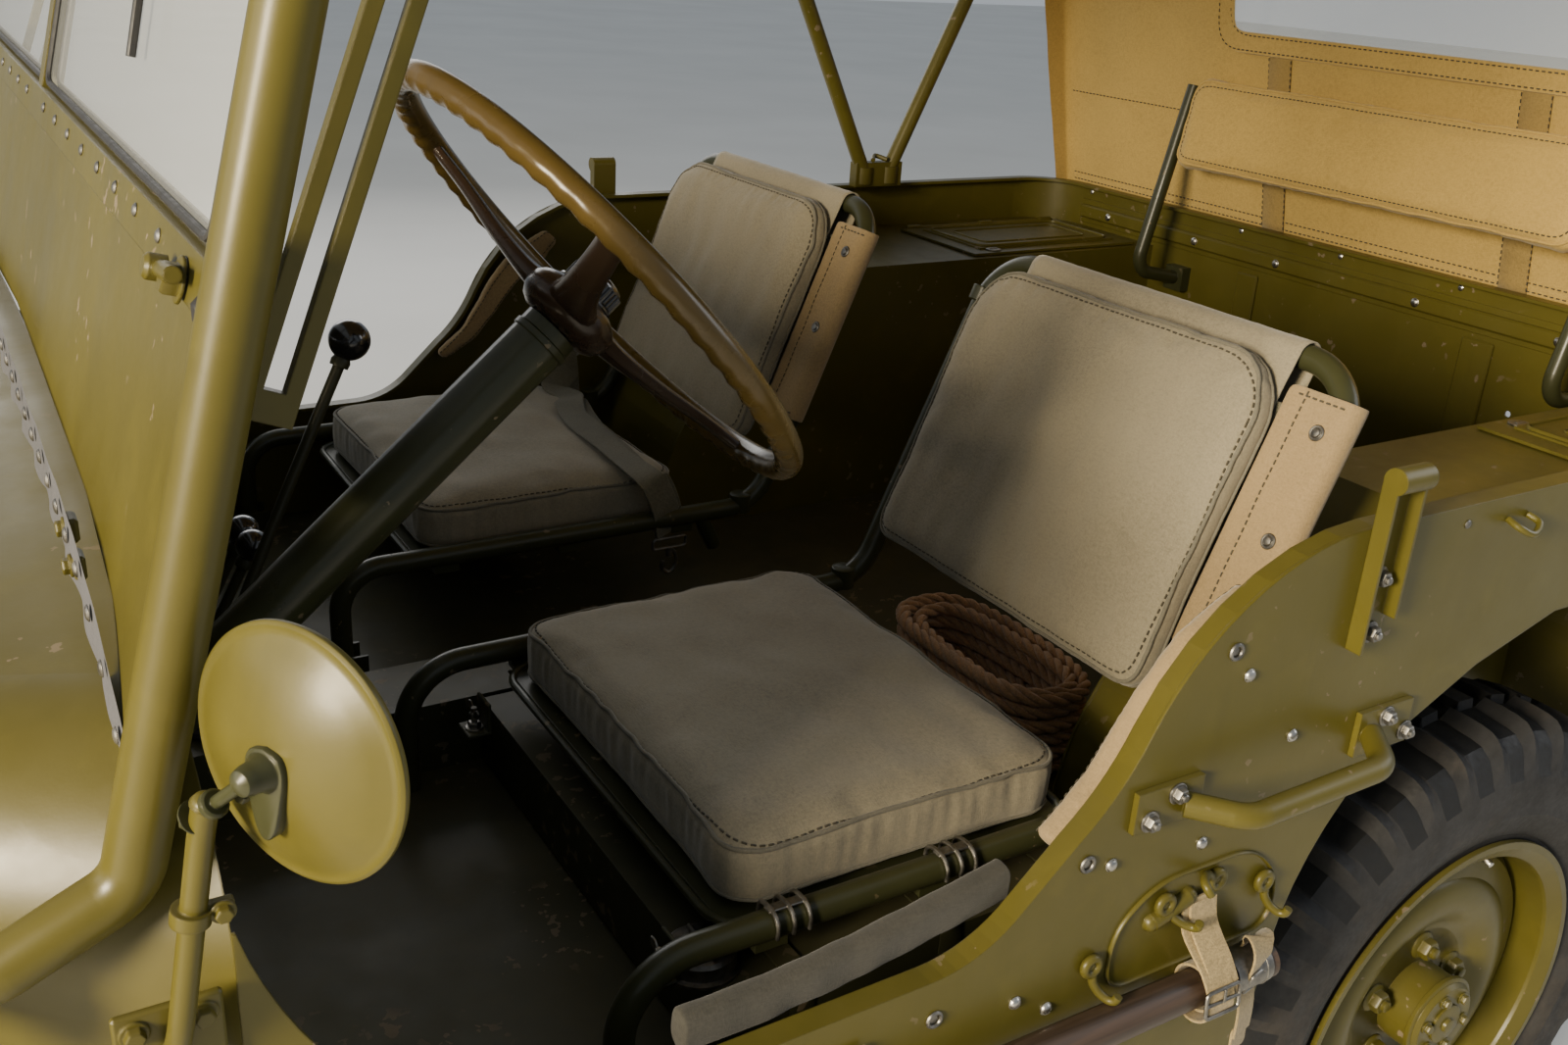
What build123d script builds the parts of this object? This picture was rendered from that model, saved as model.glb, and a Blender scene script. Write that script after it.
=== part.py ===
from build123d import *
import os
from math import sin, cos, tan, radians, degrees, sqrt, atan2

# Light open army 4x4 car, two front seats, one rear bench, canvas top up on two bows.
# Lengths in mm. X forward, Y to the car's left, Z up.
# Everything below is drawn from the rear axle: x = 0 at the rear axle, z = 0 at the height the loaded
# tyres would touch. All solids are then moved by (SHIFT_X, 0, SHIFT_Z), which puts the origin on the ground
# under the middle of the car's box.

# ---------------------------------------------------------------- driving dimensions
WHEELBASE = 2032.0
TRACK_HALF = 626.0
TYRE_R = 362.0
AXLE_Z = 355.0
BODY_Y = 735.0            # outer face of the body sides
TUB_TOP = 1021.0          # top edge of the tub
REAR_X = -570.0           # outer face of the rear panel
SKIN = 3.0                # sheet thickness, rolled edges included
FLOOR_Z = 560.0           # top of the floor
SILL_Z = 725.0
FRONT_X = 2562.0          # front face of the bumper
TAIL_X = -770.0           # back of the spare tyre
SHIFT_X = -(FRONT_X + TAIL_X) / 2.0
SHIFT_Z = TYRE_R - AXLE_Z

AXLE_F = WHEELBASE        # x of the front axle
KINGPIN_Y = 500.0
STEER_ARM = 160.0
TIE_Z = 430.0

COWL_REAR = 1236.0
COWL_FRONT = 1440.0
HOOD_FRONT = 2212.0
GRILLE_X = 2215.0
FENDER_Z = 800.0

WS_X, WS_Z = 1199.0, 1275.0      # a point on the windscreen's plane
WS_LEAN = -0.257                 # dx per dz of that plane
WS_TOP = 1650.0
WS_TUBE = 32.0
WS_TUBE_Y = 700.0
WS_PIVOT = (1400.0, 908.0)

WHEEL_C = (852.0, 324.0, 1155.0) # steering wheel centre
WHEEL_R = 211.0
COLUMN_TILT = 0.717              # radians: lean of the steering wheel's plane from upright

SEAT_TUBE = 25.0
SEAT_RAIL_Z = 700.0
CUSH_X = (478.0, 850.0)
CUSH_Y = (87.0, 577.0)
CUSH_Z = (688.5, 755.0)
BACK_LOW = (405.0, 772.0)        # front face of the back cushion, low and high
BACK_HIGH = (268.0, 1103.0)
BACK_Y = (96.0, 548.0)
BACK_T = 34.0
SEAT_LEG_X = 950.0               # front legs of the seat frames
SEAT_TUBE_Y = (72.0, 592.0)      # driver's side tubes
PASS_TUBE_Y = (-681.0, -188.0)   # passenger's side tubes
PASS_BACK_X = -4.0               # the passenger's seat stands this much further back

BOX_Y = 450.0                    # inner wall of the wheel boxes
BOX_Z = 945.0

os.makedirs("parts", exist_ok=True)
PARTS = {}


def put(name, shape):
    PARTS[name] = shape


def bx(x0, x1, y0, y1, z0, z1):
    return Pos((x0 + x1) / 2, (y0 + y1) / 2, (z0 + z1) / 2) * Box(abs(x1 - x0), abs(y1 - y0), abs(z1 - z0))


def cyl(p, q, r):
    p, q = Vector(*p), Vector(*q)
    return Plane(p, z_dir=(q - p)) * Cylinder(r, (q - p).length, align=(Align.CENTER, Align.CENTER, Align.MIN))


def rod(points, d, radius):
    """Round bar along straight runs joined by tangent arcs, each arc as large as asked or as its runs allow."""
    v = [Vector(*p) for p in points]
    for i in range(len(v) - 2, 0, -1):          # points in line with their neighbours drop out
        if (v[i] - v[i - 1]).get_angle(v[i + 1] - v[i]) < 1.5:
            del v[i]
    points = [(p.X, p.Y, p.Z) for p in v]
    if len(v) > 2:
        radii = []
        for a, b, c in zip(v[:-2], v[1:-1], v[2:]):
            turn = radians((b - a).get_angle(c - b))
            radii.append(min(radius, 0.46 * min((b - a).length, (c - b).length) / tan(turn / 2)))
        path = FilletPolyline(*points, radius=radii)
    else:
        path = Line(*points)
    start = Plane(origin=path @ 0, z_dir=path % 0)
    return sweep(start * Circle(d / 2), path=path)


def plate_xz(pts, y0, y1):
    """A plate standing along X: outline in (x, z), from y0 to y1."""
    face = make_face(Polyline(*[(p[0], y0, p[1]) for p in pts], close=True))
    return extrude(face, amount=abs(y1 - y0), dir=(0, 1 if y1 > y0 else -1, 0))


def strip_xz(pts, t, y0, y1):
    """A bent sheet, t thick, along a run of (x, z) points: t lies to the left of the run, with mitred bends."""
    n = []
    for (xa, za), (xb, zb) in zip(pts[:-1], pts[1:]):
        L = sqrt((xb - xa) ** 2 + (zb - za) ** 2)
        n.append((-(zb - za) / L, (xb - xa) / L))
    off = []
    for i, (x, z) in enumerate(pts):
        a, b = n[max(i - 1, 0)], n[min(i, len(n) - 1)]
        k = t / (1 + a[0] * b[0] + a[1] * b[1])
        off.append((x + (a[0] + b[0]) * k, z + (a[1] + b[1]) * k))
    return plate_xz(pts + off[::-1], y0, y1)


def wire_xz(parts, y):
    """parts: list of ('l', (x, z), (x, z)) lines and ('a', (x, z), mid, end) arcs."""
    out = []
    for p in parts:
        q = [(a[0], y, a[1]) for a in p[1:]]
        out.append(Line(q[0], q[1]) if p[0] == 'l' else ThreePointArc(*q))
    return out


def curved_xz(parts, y0, y1):
    face = make_face(wire_xz(parts, y0))
    return extrude(face, amount=abs(y1 - y0), dir=(0, 1 if y1 > y0 else -1, 0))


def turned_y(profile, x, y, z, side):
    """Ring about a Y axis: profile of (radius, outboard offset) from the wheel plane at y."""
    pts = [(x + r, y + side * o, z) for r, o in profile]
    face = make_face(Polyline(*pts, close=True))
    return revolve(face, axis=Axis((x, y, z), (0, 1, 0)), revolution_arc=360)


# ---------------------------------------------------------------- ladder frame
RAIL_Y, RAIL_W = 345.0, 50.0
rail_line = [(-560, 470), (-330, 470), (-230, 500), (230, 500), (420, 425), (1560, 425), (1720, 465),
             (2515, 465), (2515, 555), (1700, 555), (1540, 525), (440, 525), (240, 552), (-560, 552)]
frame = plate_xz(rail_line, RAIL_Y - RAIL_W / 2, RAIL_Y + RAIL_W / 2)
frame += mirror(frame, about=Plane.XZ)
# cross members: x, z low, z high
for x, z0, z1 in [(-545, 478, 546), (-120, 505, 548), (430, 455, 520), (560, 455, 520), (1560, 440, 470),
                  (2440, 475, 545)]:
    frame += bx(x - 22, x + 22, -RAIL_Y, RAIL_Y, z0, z1)
# body brackets under the floor: x
for x in (480, 1150):
    for s in (-1, 1):
        frame += bx(x - 30, x + 30, s * 365, s * 640, 515, 525)
SPRINGS = [(0.0, 535.0), (AXLE_F, 455.0)]      # axle x, half span
SPRING_EYE_Z = 402.0
hangers = []                    # side plates that carry the spring eyes
for ax, half in SPRINGS:
    for e in (-1, 1):
        for s in (-1, 1):
            ex = ax + e * half
            hangers.append(bx(ex - 18, ex + 18, s * 370.2, s * 373.4, SPRING_EYE_Z - 18, 505))
            hangers.append(bx(ex - 18, ex + 18, s * 316.6, s * 319.8, SPRING_EYE_Z - 18, 505))
put("chassis_frame", Compound(children=[frame] + hangers))

# ---------------------------------------------------------------- leaf springs, below the axles
LEAF, LEAVES, LEAF_W = 6.0, 8, 42.0
PACK_TOP = AXLE_Z - 35.0
springs = []
for ax, half in SPRINGS:
    z_mid = PACK_TOP - LEAF                      # underside of the longest leaf at the axle
    rise = SPRING_EYE_Z - 14 - z_mid
    R = (half ** 2 + rise ** 2) / (2 * rise)
    zc = z_mid + R
    profile = None
    for k in range(LEAVES):
        h = half * (1.0 - 0.105 * k)
        a = atan2(h, sqrt(max(R * R - h * h, 1)))
        r1, r0 = R + k * LEAF, R + (k - 1) * LEAF
        p = lambda r, t: (ax + r * sin(t), 0, zc - r * cos(t))
        f = make_face([ThreePointArc(p(r1, -a), p(r1, 0), p(r1, a)), Line(p(r1, a), p(r0, a)),
                       ThreePointArc(p(r0, a), p(r0, 0), p(r0, -a)), Line(p(r0, -a), p(r1, -a))])
        profile = f if profile is None else profile + f
    for s in (-1, 1):
        one = extrude(Pos(0, s * RAIL_Y - LEAF_W / 2, 0) * profile, amount=LEAF_W, dir=(0, 1, 0))
        for e in (-1, 1):
            one += cyl((ax + e * half, s * RAIL_Y - 21, SPRING_EYE_Z), (ax + e * half, s * RAIL_Y + 21, SPRING_EYE_Z), 15)
        springs.append(one)
put("leaf_springs", Compound(children=springs))

# ---------------------------------------------------------------- axles
DIFF_Y = -190.0
PACK_LOW = PACK_TOP - LEAF * LEAVES


def axle_body(x, y_end, nose):
    s = cyl((x, -y_end, AXLE_Z), (x, y_end, AXLE_Z), 34)
    s += Pos(x, DIFF_Y, AXLE_Z) * Sphere(118)
    s += cyl((x, DIFF_Y, AXLE_Z), (x + nose * 188, DIFF_Y, AXLE_Z), 48)
    for k in (-1, 1):
        s += bx(x - 45, x + 45, k * RAIL_Y - 33, k * RAIL_Y + 33, PACK_TOP + 2, AXLE_Z)
        for e in (-38, 38):
            for d in (-28, 28):
                s += cyl((x + e, k * RAIL_Y + d, PACK_LOW - 14), (x + e, k * RAIL_Y + d, AXLE_Z), 5)
        s += bx(x - 48, x + 48, k * RAIL_Y - 34, k * RAIL_Y + 34, PACK_LOW - 12, PACK_LOW - 3)
    return s


rear_axle = axle_body(0, 556, 1)
for s in (-1, 1):
    rear_axle += cyl((0, s * 540, AXLE_Z), (0, s * 600, AXLE_Z), 20)
    rear_axle += cyl((0, s * 556, AXLE_Z), (0, s * 563, AXLE_Z), 128)
put("rear_axle", rear_axle)

front_axle = axle_body(AXLE_F, KINGPIN_Y, -1)
for s in (-1, 1):
    front_axle += Pos(AXLE_F, s * KINGPIN_Y, AXLE_Z) * Sphere(52)
put("front_axle", front_axle)

for s, name in ((1, "steering_knuckle_left"), (-1, "steering_knuckle_right")):
    ky = s * KINGPIN_Y
    k = Pos(AXLE_F, ky, AXLE_Z) * (Sphere(84) - Sphere(73))
    k -= bx(AXLE_F - 90, AXLE_F + 90, ky - s * 90, ky - s * 12, AXLE_Z - 90, AXLE_Z + 90)
    k += cyl((AXLE_F, ky, AXLE_Z + 75), (AXLE_F, ky, AXLE_Z + 103), 30)
    k += cyl((AXLE_F, ky, AXLE_Z - 103), (AXLE_F, ky, AXLE_Z - 75), 30)
    k += cyl((AXLE_F, s * 575, AXLE_Z), (AXLE_F, s * 600, AXLE_Z), 20)
    k += cyl((AXLE_F, s * 556, AXLE_Z), (AXLE_F, s * 563, AXLE_Z), 128)
    k += cyl((AXLE_F, s * 574, AXLE_Z), (AXLE_F, s * 585, AXLE_Z), 20)
    k += bx(AXLE_F - STEER_ARM - 18, AXLE_F + 10, ky - 18, ky + 18, TIE_Z + 16, TIE_Z + 28)
    k += cyl((AXLE_F - STEER_ARM, ky, TIE_Z - 16), (AXLE_F - STEER_ARM, ky, TIE_Z + 20), 9)
    put(name, k)

tie = cyl((AXLE_F - STEER_ARM, -KINGPIN_Y + 16, TIE_Z), (AXLE_F - STEER_ARM, KINGPIN_Y - 16, TIE_Z), 12)
for s in (-1, 1):
    tie += cyl((AXLE_F - STEER_ARM, s * KINGPIN_Y, TIE_Z - 13), (AXLE_F - STEER_ARM, s * KINGPIN_Y, TIE_Z + 13), 21)
for s in (-1, 1):
    tie -= cyl((AXLE_F - STEER_ARM, s * KINGPIN_Y, TIE_Z - 20), (AXLE_F - STEER_ARM, s * KINGPIN_Y, TIE_Z + 20), 10.5)
put("tie_rod", tie)

# ---------------------------------------------------------------- wheels and tyres
# (radius, outboard offset from the wheel's middle plane)
RIM = [(222, 71), (222, 65), (207, 60), (203, 56), (203, -56), (207, -60), (222, -65), (222, -71), (214, -71),
       (199, -62), (198, -58), (198, 58), (199, 62), (214, 71)]
DISC = [(200, 12), (186, 29), (150, 38), (122, 38), (102, 30), (30, 30), (30, 24), (104, 24), (124, 32), (148, 32),
        (182, 23), (200, 2)]
DRUM = [(125, -55), (125, 24), (30, 24), (30, 16), (117, 16), (117, -55)]
HUB = [(48, 24), (48, 74), (44, 79), (0.0, 79), (0.0, -18), (22, -18), (22, -40), (42, -40), (42, 24)]
TYRE = [(357, 52), (362, 30), (362, -30), (357, -52), (346, -64), (320, -74), (290, -78), (255, -74), (226, -62),
        (208, -59.0), (203.4, -54.5), (203.4, 54.5), (208, 59.0), (226, 62), (255, 74), (290, 78), (320, 74), (346, 64)]


def road_wheel(x, y, z, s):
    w = turned_y(RIM, x, y, z, s)
    for prof in (DISC, DRUM, HUB):
        w += turned_y(prof, x, y, z, s)
    return w


CORNERS = [("front_left", AXLE_F, 1), ("front_right", AXLE_F, -1), ("rear_left", 0.0, 1), ("rear_right", 0.0, -1)]
for name, x, s in CORNERS:
    put("wheel_" + name, road_wheel(x, s * TRACK_HALF, AXLE_Z, s))
    put("tyre_" + name, turned_y(TYRE, x, s * TRACK_HALF, AXLE_Z, s))

# spare, carried on the right of the rear panel, its disc facing back
SPARE_Y, SPARE_Z = -300.0, 805.0
SPARE_X = TAIL_X + 78.0


def spare(prof):
    pts = [(SPARE_X - o, SPARE_Y + r, SPARE_Z) for r, o in prof]
    return revolve(make_face(Polyline(*pts, close=True)), axis=Axis((SPARE_X, SPARE_Y, SPARE_Z), (1, 0, 0)),
                   revolution_arc=360)


SPARE_DISC = [(200, 12), (186, 29), (150, 38), (122, 38), (102, 30), (0, 30), (0, 24), (104, 24), (124, 32),
              (148, 32), (182, 23), (200, 2)]
put("spare_wheel", spare(RIM) + spare(SPARE_DISC))
put("spare_tyre", spare(TYRE))

# ---------------------------------------------------------------- engine with gearbox, shafts, exhaust, tank
engine = bx(1500, 2040, -150, 150, 480, 900)
engine += bx(1300, 1510, -115, 115, 440, 548)
engine += bx(960, 1310, -90, 90, 440, 548)
engine += bx(700, 970, -250, 80, 385, 545)
put("engine_block", engine)
put("radiator", bx(2120, 2165, -180, 180, 590, 940))


def shaft(p, q, r):
    s = cyl(p, q, r)
    for a, b in ((p, q), (q, p)):
        v = (Vector(*b) - Vector(*a)).normalized()
        e = Vector(*a) + v * 42
        s += cyl(a, (e.X, e.Y, e.Z), r + 14)
    return s


put("prop_shafts", Compound(children=[
    shaft((688, DIFF_Y, 440), (200, DIFF_Y, AXLE_Z + 8), 22),
    shaft((982, DIFF_Y, 418), (AXLE_F - 200, DIFF_Y, AXLE_Z + 6), 22)]))

ex = rod([(1645, -152, 560), (1645, -240, 560), (1640, -252, 390), (1480, -280, 390), (1340, -470, 392), (1180, -470, 452),
          (900, -470, 452)], 38, 38)
ex += cyl((540, -470, 452), (950, -470, 452), 52)
ex += rod([(600, -470, 452), (456, -470, 452), (456, -690, 445)], 36, 35)
put("exhaust", ex)

tank = bx(422, 862, 58, 602, 564, 640)
put("fuel_tank", tank)

# ---------------------------------------------------------------- body tub
ARCH = [('l', (398, 520), (387, 625)), ('a', (387, 625), (346, 735), (262, 818)), ('l', (262, 818), (180, 858)),
        ('l', (180, 858), (75, 890)), ('l', (75, 890), (-75, 890)), ('l', (-75, 890), (-180, 858)),
        ('l', (-180, 858), (-262, 818)), ('a', (-262, 818), (-346, 735), (-387, 625)), ('l', (-387, 625), (-396, 545))]
CORNER_R = 95.0
XR = REAR_X + CORNER_R
# the door cut-out: a long round shoulder, a hollow, a straight slope, then the sill
side_top = [('l', (XR, TUB_TOP), (370, TUB_TOP)), ('a', (370, TUB_TOP), (504, 979), (584, 886)),
            ('a', (584, 886), (609.5, 844), (643, 809)), ('l', (643, 809), (696, 758)),
            ('a', (696, 758), (730, 737), (770, 729)), ('l', (770, 729), (1030, SILL_Z)),
            ('a', (1030, SILL_Z), (1098, 738), (1150, 788))]
side = side_top + [('l', (1150, 788), (1150, 520)), ('l', (1150, 520), (398, 520))] + ARCH + [
    ('l', (-396, 545), (XR, 545)), ('l', (XR, 545), (XR, TUB_TOP))]
left = curved_xz(side, BODY_Y - SKIN, BODY_Y)
# edge turned inward along the top and round the door cut-out
EDGE_IN, EDGE_H = 20.0, 5.0


def sampled(curve, n):
    """Points along a run of lines and arcs, n to an arc."""
    pts = [curve[0][1]]
    for q in curve:
        if q[0] == 'l':
            pts.append(q[2])
        else:
            arc = ThreePointArc(*[(a[0], 0, a[1]) for a in q[1:]])
            pts += [((arc @ (k / n)).X, (arc @ (k / n)).Z) for k in range(1, n + 1)]
    return pts


edge_run = sampled(side_top, 7)
left += strip_xz(edge_run[::-1], EDGE_H, BODY_Y - EDGE_IN, BODY_Y)
left -= bx(1149.9, 1200, 700, 780, 500, 900)

# wheel box: one bent sheet over the wheel from the arch to the inner wall, a roof with a lid opening above it
def outward(p, d):
    """A point moved d away from the wheel's centre."""
    r = sqrt(p[0] ** 2 + (p[1] - AXLE_Z) ** 2)
    return (p[0] * (1 + d / r), AXLE_Z + (p[1] - AXLE_Z) * (1 + d / r))


half_arch = sampled(ARCH, 8)[1:11]                    # from (387, 625) up to (180, 858)
lining = [outward(q, 1.0) for q in half_arch] + [(75, 891), (-75, 891)] + [outward((-x, z), 1.0) for x, z in half_arch[::-1]]
left += strip_xz([(395.2, FLOOR_Z - SKIN)] + lining + [(-397.2, 545)], SKIN, BOX_Y + 1, BODY_Y - 1)
wall = [(REAR_X + SKIN - 1, BOX_Z), (110, BOX_Z), (214, 845)] + [outward(q, 2.2) for q in half_arch[:-1][::-1]] + [
    (396.6, FLOOR_Z - SKIN), (REAR_X + SKIN - 1, FLOOR_Z - SKIN)]
left += plate_xz(wall, BOX_Y, BOX_Y + SKIN)
left += strip_xz([(212.5, 845.2), (110, BOX_Z - SKIN), (REAR_X + SKIN - 1, BOX_Z - SKIN)][::-1], SKIN, BOX_Y + 1, BODY_Y - 1)
LID = (-534.0, -178.0, 462.0, 672.0)       # tool lid: x0, x1, y0, y1
left -= bx(LID[0] + 14, LID[1] - 14, LID[2] + 14, LID[3] - 14, BOX_Z - 10, BOX_Z + 10)
# floor of the tool box behind the wheel
left += bx(REAR_X + SKIN - 1, -398, BOX_Y + 1, BODY_Y - CORNER_R * 0.32, 545, 548)

# rear corner, a quarter round in plan, and its share of the rear panel
yc = BODY_Y - CORNER_R
ring = make_face([
    ThreePointArc((XR, BODY_Y, 545), (XR - CORNER_R * sin(radians(45)), yc + CORNER_R * cos(radians(45)), 545), (REAR_X, yc, 545)),
    Line((REAR_X, yc, 545), (REAR_X + SKIN, yc, 545)),
    ThreePointArc((REAR_X + SKIN, yc, 545), (XR - (CORNER_R - SKIN) * sin(radians(45)), yc + (CORNER_R - SKIN) * cos(radians(45)), 545), (XR, BODY_Y - SKIN, 545)),
    Line((XR, BODY_Y - SKIN, 545), (XR, BODY_Y, 545))])
left += extrude(ring, amount=TUB_TOP - 545, dir=(0, 0, 1))
edge = make_face([
    ThreePointArc((XR, BODY_Y, 0), (XR - CORNER_R * sin(radians(45)), yc + CORNER_R * cos(radians(45)), 0), (REAR_X, yc, 0)),
    Line((REAR_X, yc, 0), (REAR_X + EDGE_IN, yc, 0)),
    ThreePointArc((REAR_X + EDGE_IN, yc, 0), (XR - (CORNER_R - EDGE_IN) * sin(radians(45)), yc + (CORNER_R - EDGE_IN) * cos(radians(45)), 0), (XR, BODY_Y - EDGE_IN, 0)),
    Line((XR, BODY_Y - EDGE_IN, 0), (XR, BODY_Y, 0))])
left += extrude(Pos(0, 0, TUB_TOP - EDGE_H) * edge, amount=EDGE_H, dir=(0, 0, 1))
left -= bx(REAR_X - 20, XR + 40, yc - 60, BODY_Y + 20, 400, 545)
tub = left + mirror(left, about=Plane.XZ)
tub += bx(REAR_X, REAR_X + SKIN, -yc, yc, 545, TUB_TOP)
tub += bx(REAR_X, REAR_X + EDGE_IN, -yc, yc, TUB_TOP - EDGE_H, TUB_TOP)
# spare wheel carrier on the rear panel
tub += cyl((REAR_X - 1, SPARE_Y, SPARE_Z), (SPARE_X - 23.7, SPARE_Y, SPARE_Z), 40)
tub += cyl((REAR_X + 1, SPARE_Y, SPARE_Z), (REAR_X - 6, SPARE_Y, SPARE_Z), 115)
# holes for the can rack: centre y, z and spacings
CAN_Y, CAN_Z, CAN_DY, CAN_DZ, CAN_R = 330.0, 780.0, 130.0, 150.0, 4.5
for dy in (-1, 1):
    for dz in (-1, 1):
        tub -= cyl((REAR_X - 5, CAN_Y + dy * CAN_DY / 2, CAN_Z + dz * CAN_DZ / 2),
                   (REAR_X + 10, CAN_Y + dy * CAN_DY / 2, CAN_Z + dz * CAN_DZ / 2), CAN_R)
put("body_tub", tub)

# ---------------------------------------------------------------- floor
floor = bx(REAR_X + SKIN + 0.3, 405, -BOX_Y + 0.3, BOX_Y - 0.3, FLOOR_Z - SKIN, FLOOR_Z)
floor += bx(403, 1222, -BODY_Y + SKIN + 0.3, BODY_Y - SKIN - 0.3, FLOOR_Z - SKIN, FLOOR_Z)
TUN = (700.0, 1260.0, 50.0, 640.0)       # gearbox tunnel: x0, x1, half width, top
floor -= bx(TUN[0] - 0.3, 1300, -TUN[2] - 0.3, TUN[2] + 0.3, 500, 600)
tunnel = bx(TUN[0], TUN[1], -TUN[2], TUN[2], FLOOR_Z - SKIN, TUN[3])
tunnel -= bx(TUN[0] + SKIN, TUN[1] + 30, -TUN[2] + SKIN, TUN[2] - SKIN, 500, TUN[3] - SKIN)
TOE = strip_xz([(1220, FLOOR_Z - SKIN), (1431, 737)], SKIN, -760, 760)

# ---------------------------------------------------------------- cowl with dashboard and firewall
# section rows: x, half width, crown z, shoulder radius, lower edge z
COWL = [(COWL_REAR, BODY_Y, 1040.0, 150.0, 520.0), (COWL_FRONT, 585.0, 1022.0, 118.0, 560.0)]


def arch_section(x, w, zt, r, zb):
    """Closed outline across the car at x: upright sides, round shoulders, crowned top."""
    zs = zt - 22 - r
    c = 0.70710678
    pts = [(x, -w, zb), (x, -w, zs), (x, -w + r * (1 - c), zs + r * c), (x, -w + r, zs + r), (x, 0, zt),
           (x, w - r, zs + r), (x, w - r * (1 - c), zs + r * c), (x, w, zs), (x, w, zb)]
    return make_face([Line(pts[0], pts[1]), ThreePointArc(pts[1], pts[2], pts[3]), ThreePointArc(pts[3], pts[4], pts[5]),
                      ThreePointArc(pts[5], pts[6], pts[7]), Line(pts[7], pts[8]), Line(pts[8], pts[0])])


def shell(rows, t):
    outer = loft([arch_section(*r) for r in rows], ruled=True)
    (xa, wa, za, ra, ba), (xb, wb, zb, rb, bb) = rows[0], rows[-1]
    inner = loft([arch_section(xa - 0.0, wa - t, za - t, ra - t, ba - 60), arch_section(xb, wb - t, zb - t, rb - t, bb - 60)], ruled=True)
    return outer - inner


cowl = shell(COWL, SKIN)
front = bx(COWL_FRONT - SKIN, COWL_FRONT, -700, 700, 500, 1100) & loft([arch_section(*r) for r in COWL], ruled=True)
cowl += front
dash = bx(COWL_REAR, COWL_REAR + SKIN, -750, 750, 862, 1100) & loft([arch_section(*r) for r in COWL], ruled=True)
cowl += dash
# side pieces between the tub and the cowl, with the curved front edge of the door opening
fl = [('l', (1150, 520), (1150.0, 788)), ('a', (1150, 788), (1205, 860), (1236, 940)), ('l', (1236, 940), (1238, 940)),
      ('l', (1238, 940), (1238, 520)), ('l', (1238, 520), (1150, 520))]
cheek = curved_xz(fl, BODY_Y - SKIN, BODY_Y)
cheek -= bx(1100, 1150.3, 700, 760, 500, 800)
cowl += cheek
cowl += mirror(cheek, about=Plane.XZ)
# toe boards between floor and firewall, cut to the inside of the cowl
inside = loft([arch_section(x, w - SKIN - 0.4, z - SKIN - 0.4, r - SKIN - 0.4, 400) for x, w, z, r, b in COWL], ruled=True)
toe = TOE & (inside + bx(1200, COWL_REAR, -BODY_Y + SKIN + 0.3, BODY_Y - SKIN - 0.3, 500, 600))
toe -= bx(COWL_FRONT - SKIN - 0.4, COWL_FRONT + 5, -800, 800, 500, 900)
toe -= bx(1200, 1222.4, -800, 800, 500, 900)
tunnel = tunnel - plate_xz([(1219.7, 500), (1219.7, FLOOR_Z - SKIN - 0.4), (1300, 627), (1300, 500)], -100, 100)
toe -= bx(1200, TUN[1] + 0.4, -TUN[2] - 0.4, TUN[2] + 0.4, 500, TUN[3] + 0.4)
put("floor_pan", Compound(children=[floor, tunnel, toe]))
cdir = Vector(cos(COLUMN_TILT), 0, -sin(COLUMN_TILT))
wc = Vector(*WHEEL_C)
put("cowl", cowl)

# ---------------------------------------------------------------- hood, grille, fenders, lamps
HOOD = [(COWL_FRONT + 6, 583.0, 1021.0, 116.0, FENDER_Z + 8), (HOOD_FRONT, 345.0, 968.0, 80.0, FENDER_Z + 8)]
hood = shell(HOOD, SKIN)
hood += bx(COWL_FRONT + 8, COWL_FRONT + 60, -500, 500, 985, 999)
HOOD_PIVOT = (COWL_FRONT + 3, 1027.0)
hood += cyl((HOOD_PIVOT[0], -62, HOOD_PIVOT[1]), (HOOD_PIVOT[0], 62, HOOD_PIVOT[1]), 4.5)
hood += bx(HOOD_PIVOT[0], HOOD_PIVOT[0] + 40, -62, 62, 1022.5, 1025.5) + bx(HOOD_PIVOT[0] + 14, HOOD_PIVOT[0] + 40, -62, 62, 1016, 1025.5)
put("hood", hood)

gr = loft([arch_section(GRILLE_X + 2, 345.0, 966.0, 80.0, 560.0), arch_section(GRILLE_X + 8, 344.0, 965.0, 80.0, 560.0)], ruled=True)
for i in range(8):
    y = (i - 3.5) * 46.0
    gr -= bx(GRILLE_X - 5, GRILLE_X + 20, y - 13, y + 13, 600, 915)
for s in (-1, 1):
    gr -= cyl((GRILLE_X - 5, s * 262, 835), (GRILLE_X + 20, s * 262, 835), 72)
    gr += bx(2190, GRILLE_X + 3, s * 341, s * 344, 565, 800)
put("grille", gr)

lamps = []
for s in (-1, 1):
    y = s * 262
    one = Pos(0, 0, 0) * revolve(make_face(Polyline((2150, y, 835), (2150, y + 20, 835), (2180, y + 62, 835), (2210, y + 68, 835),
                                                    (2226, y + 68, 835), (2234, y, 835), close=True)),
                                 axis=Axis((2200, y, 835), (1, 0, 0)), revolution_arc=360)
    lamps.append(one)
put("headlamps", Compound(children=lamps))

fender_line = [(1560, 560), (1640, 797), (1655, FENDER_Z), (2330, FENDER_Z), (2385, 770), (2392, 735)]
f = strip_xz(fender_line, SKIN, 380, 725)
f += plate_xz([(1655, FENDER_Z), (2330, FENDER_Z), (2330, FENDER_Z - 22), (1655, FENDER_Z - 22)], 722, 725)
f += plate_xz([(1700, FENDER_Z), (2195, FENDER_Z), (2195, 575), (1700, 575)], 380, 383)
f += bx(1452, 1660, 590, 640, FENDER_Z - SKIN, FENDER_Z)
f += bx(1452, 1455, 590, 640, 640, FENDER_Z)
put("front_fenders", Compound(children=[f, mirror(f, about=Plane.XZ)]))

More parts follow.
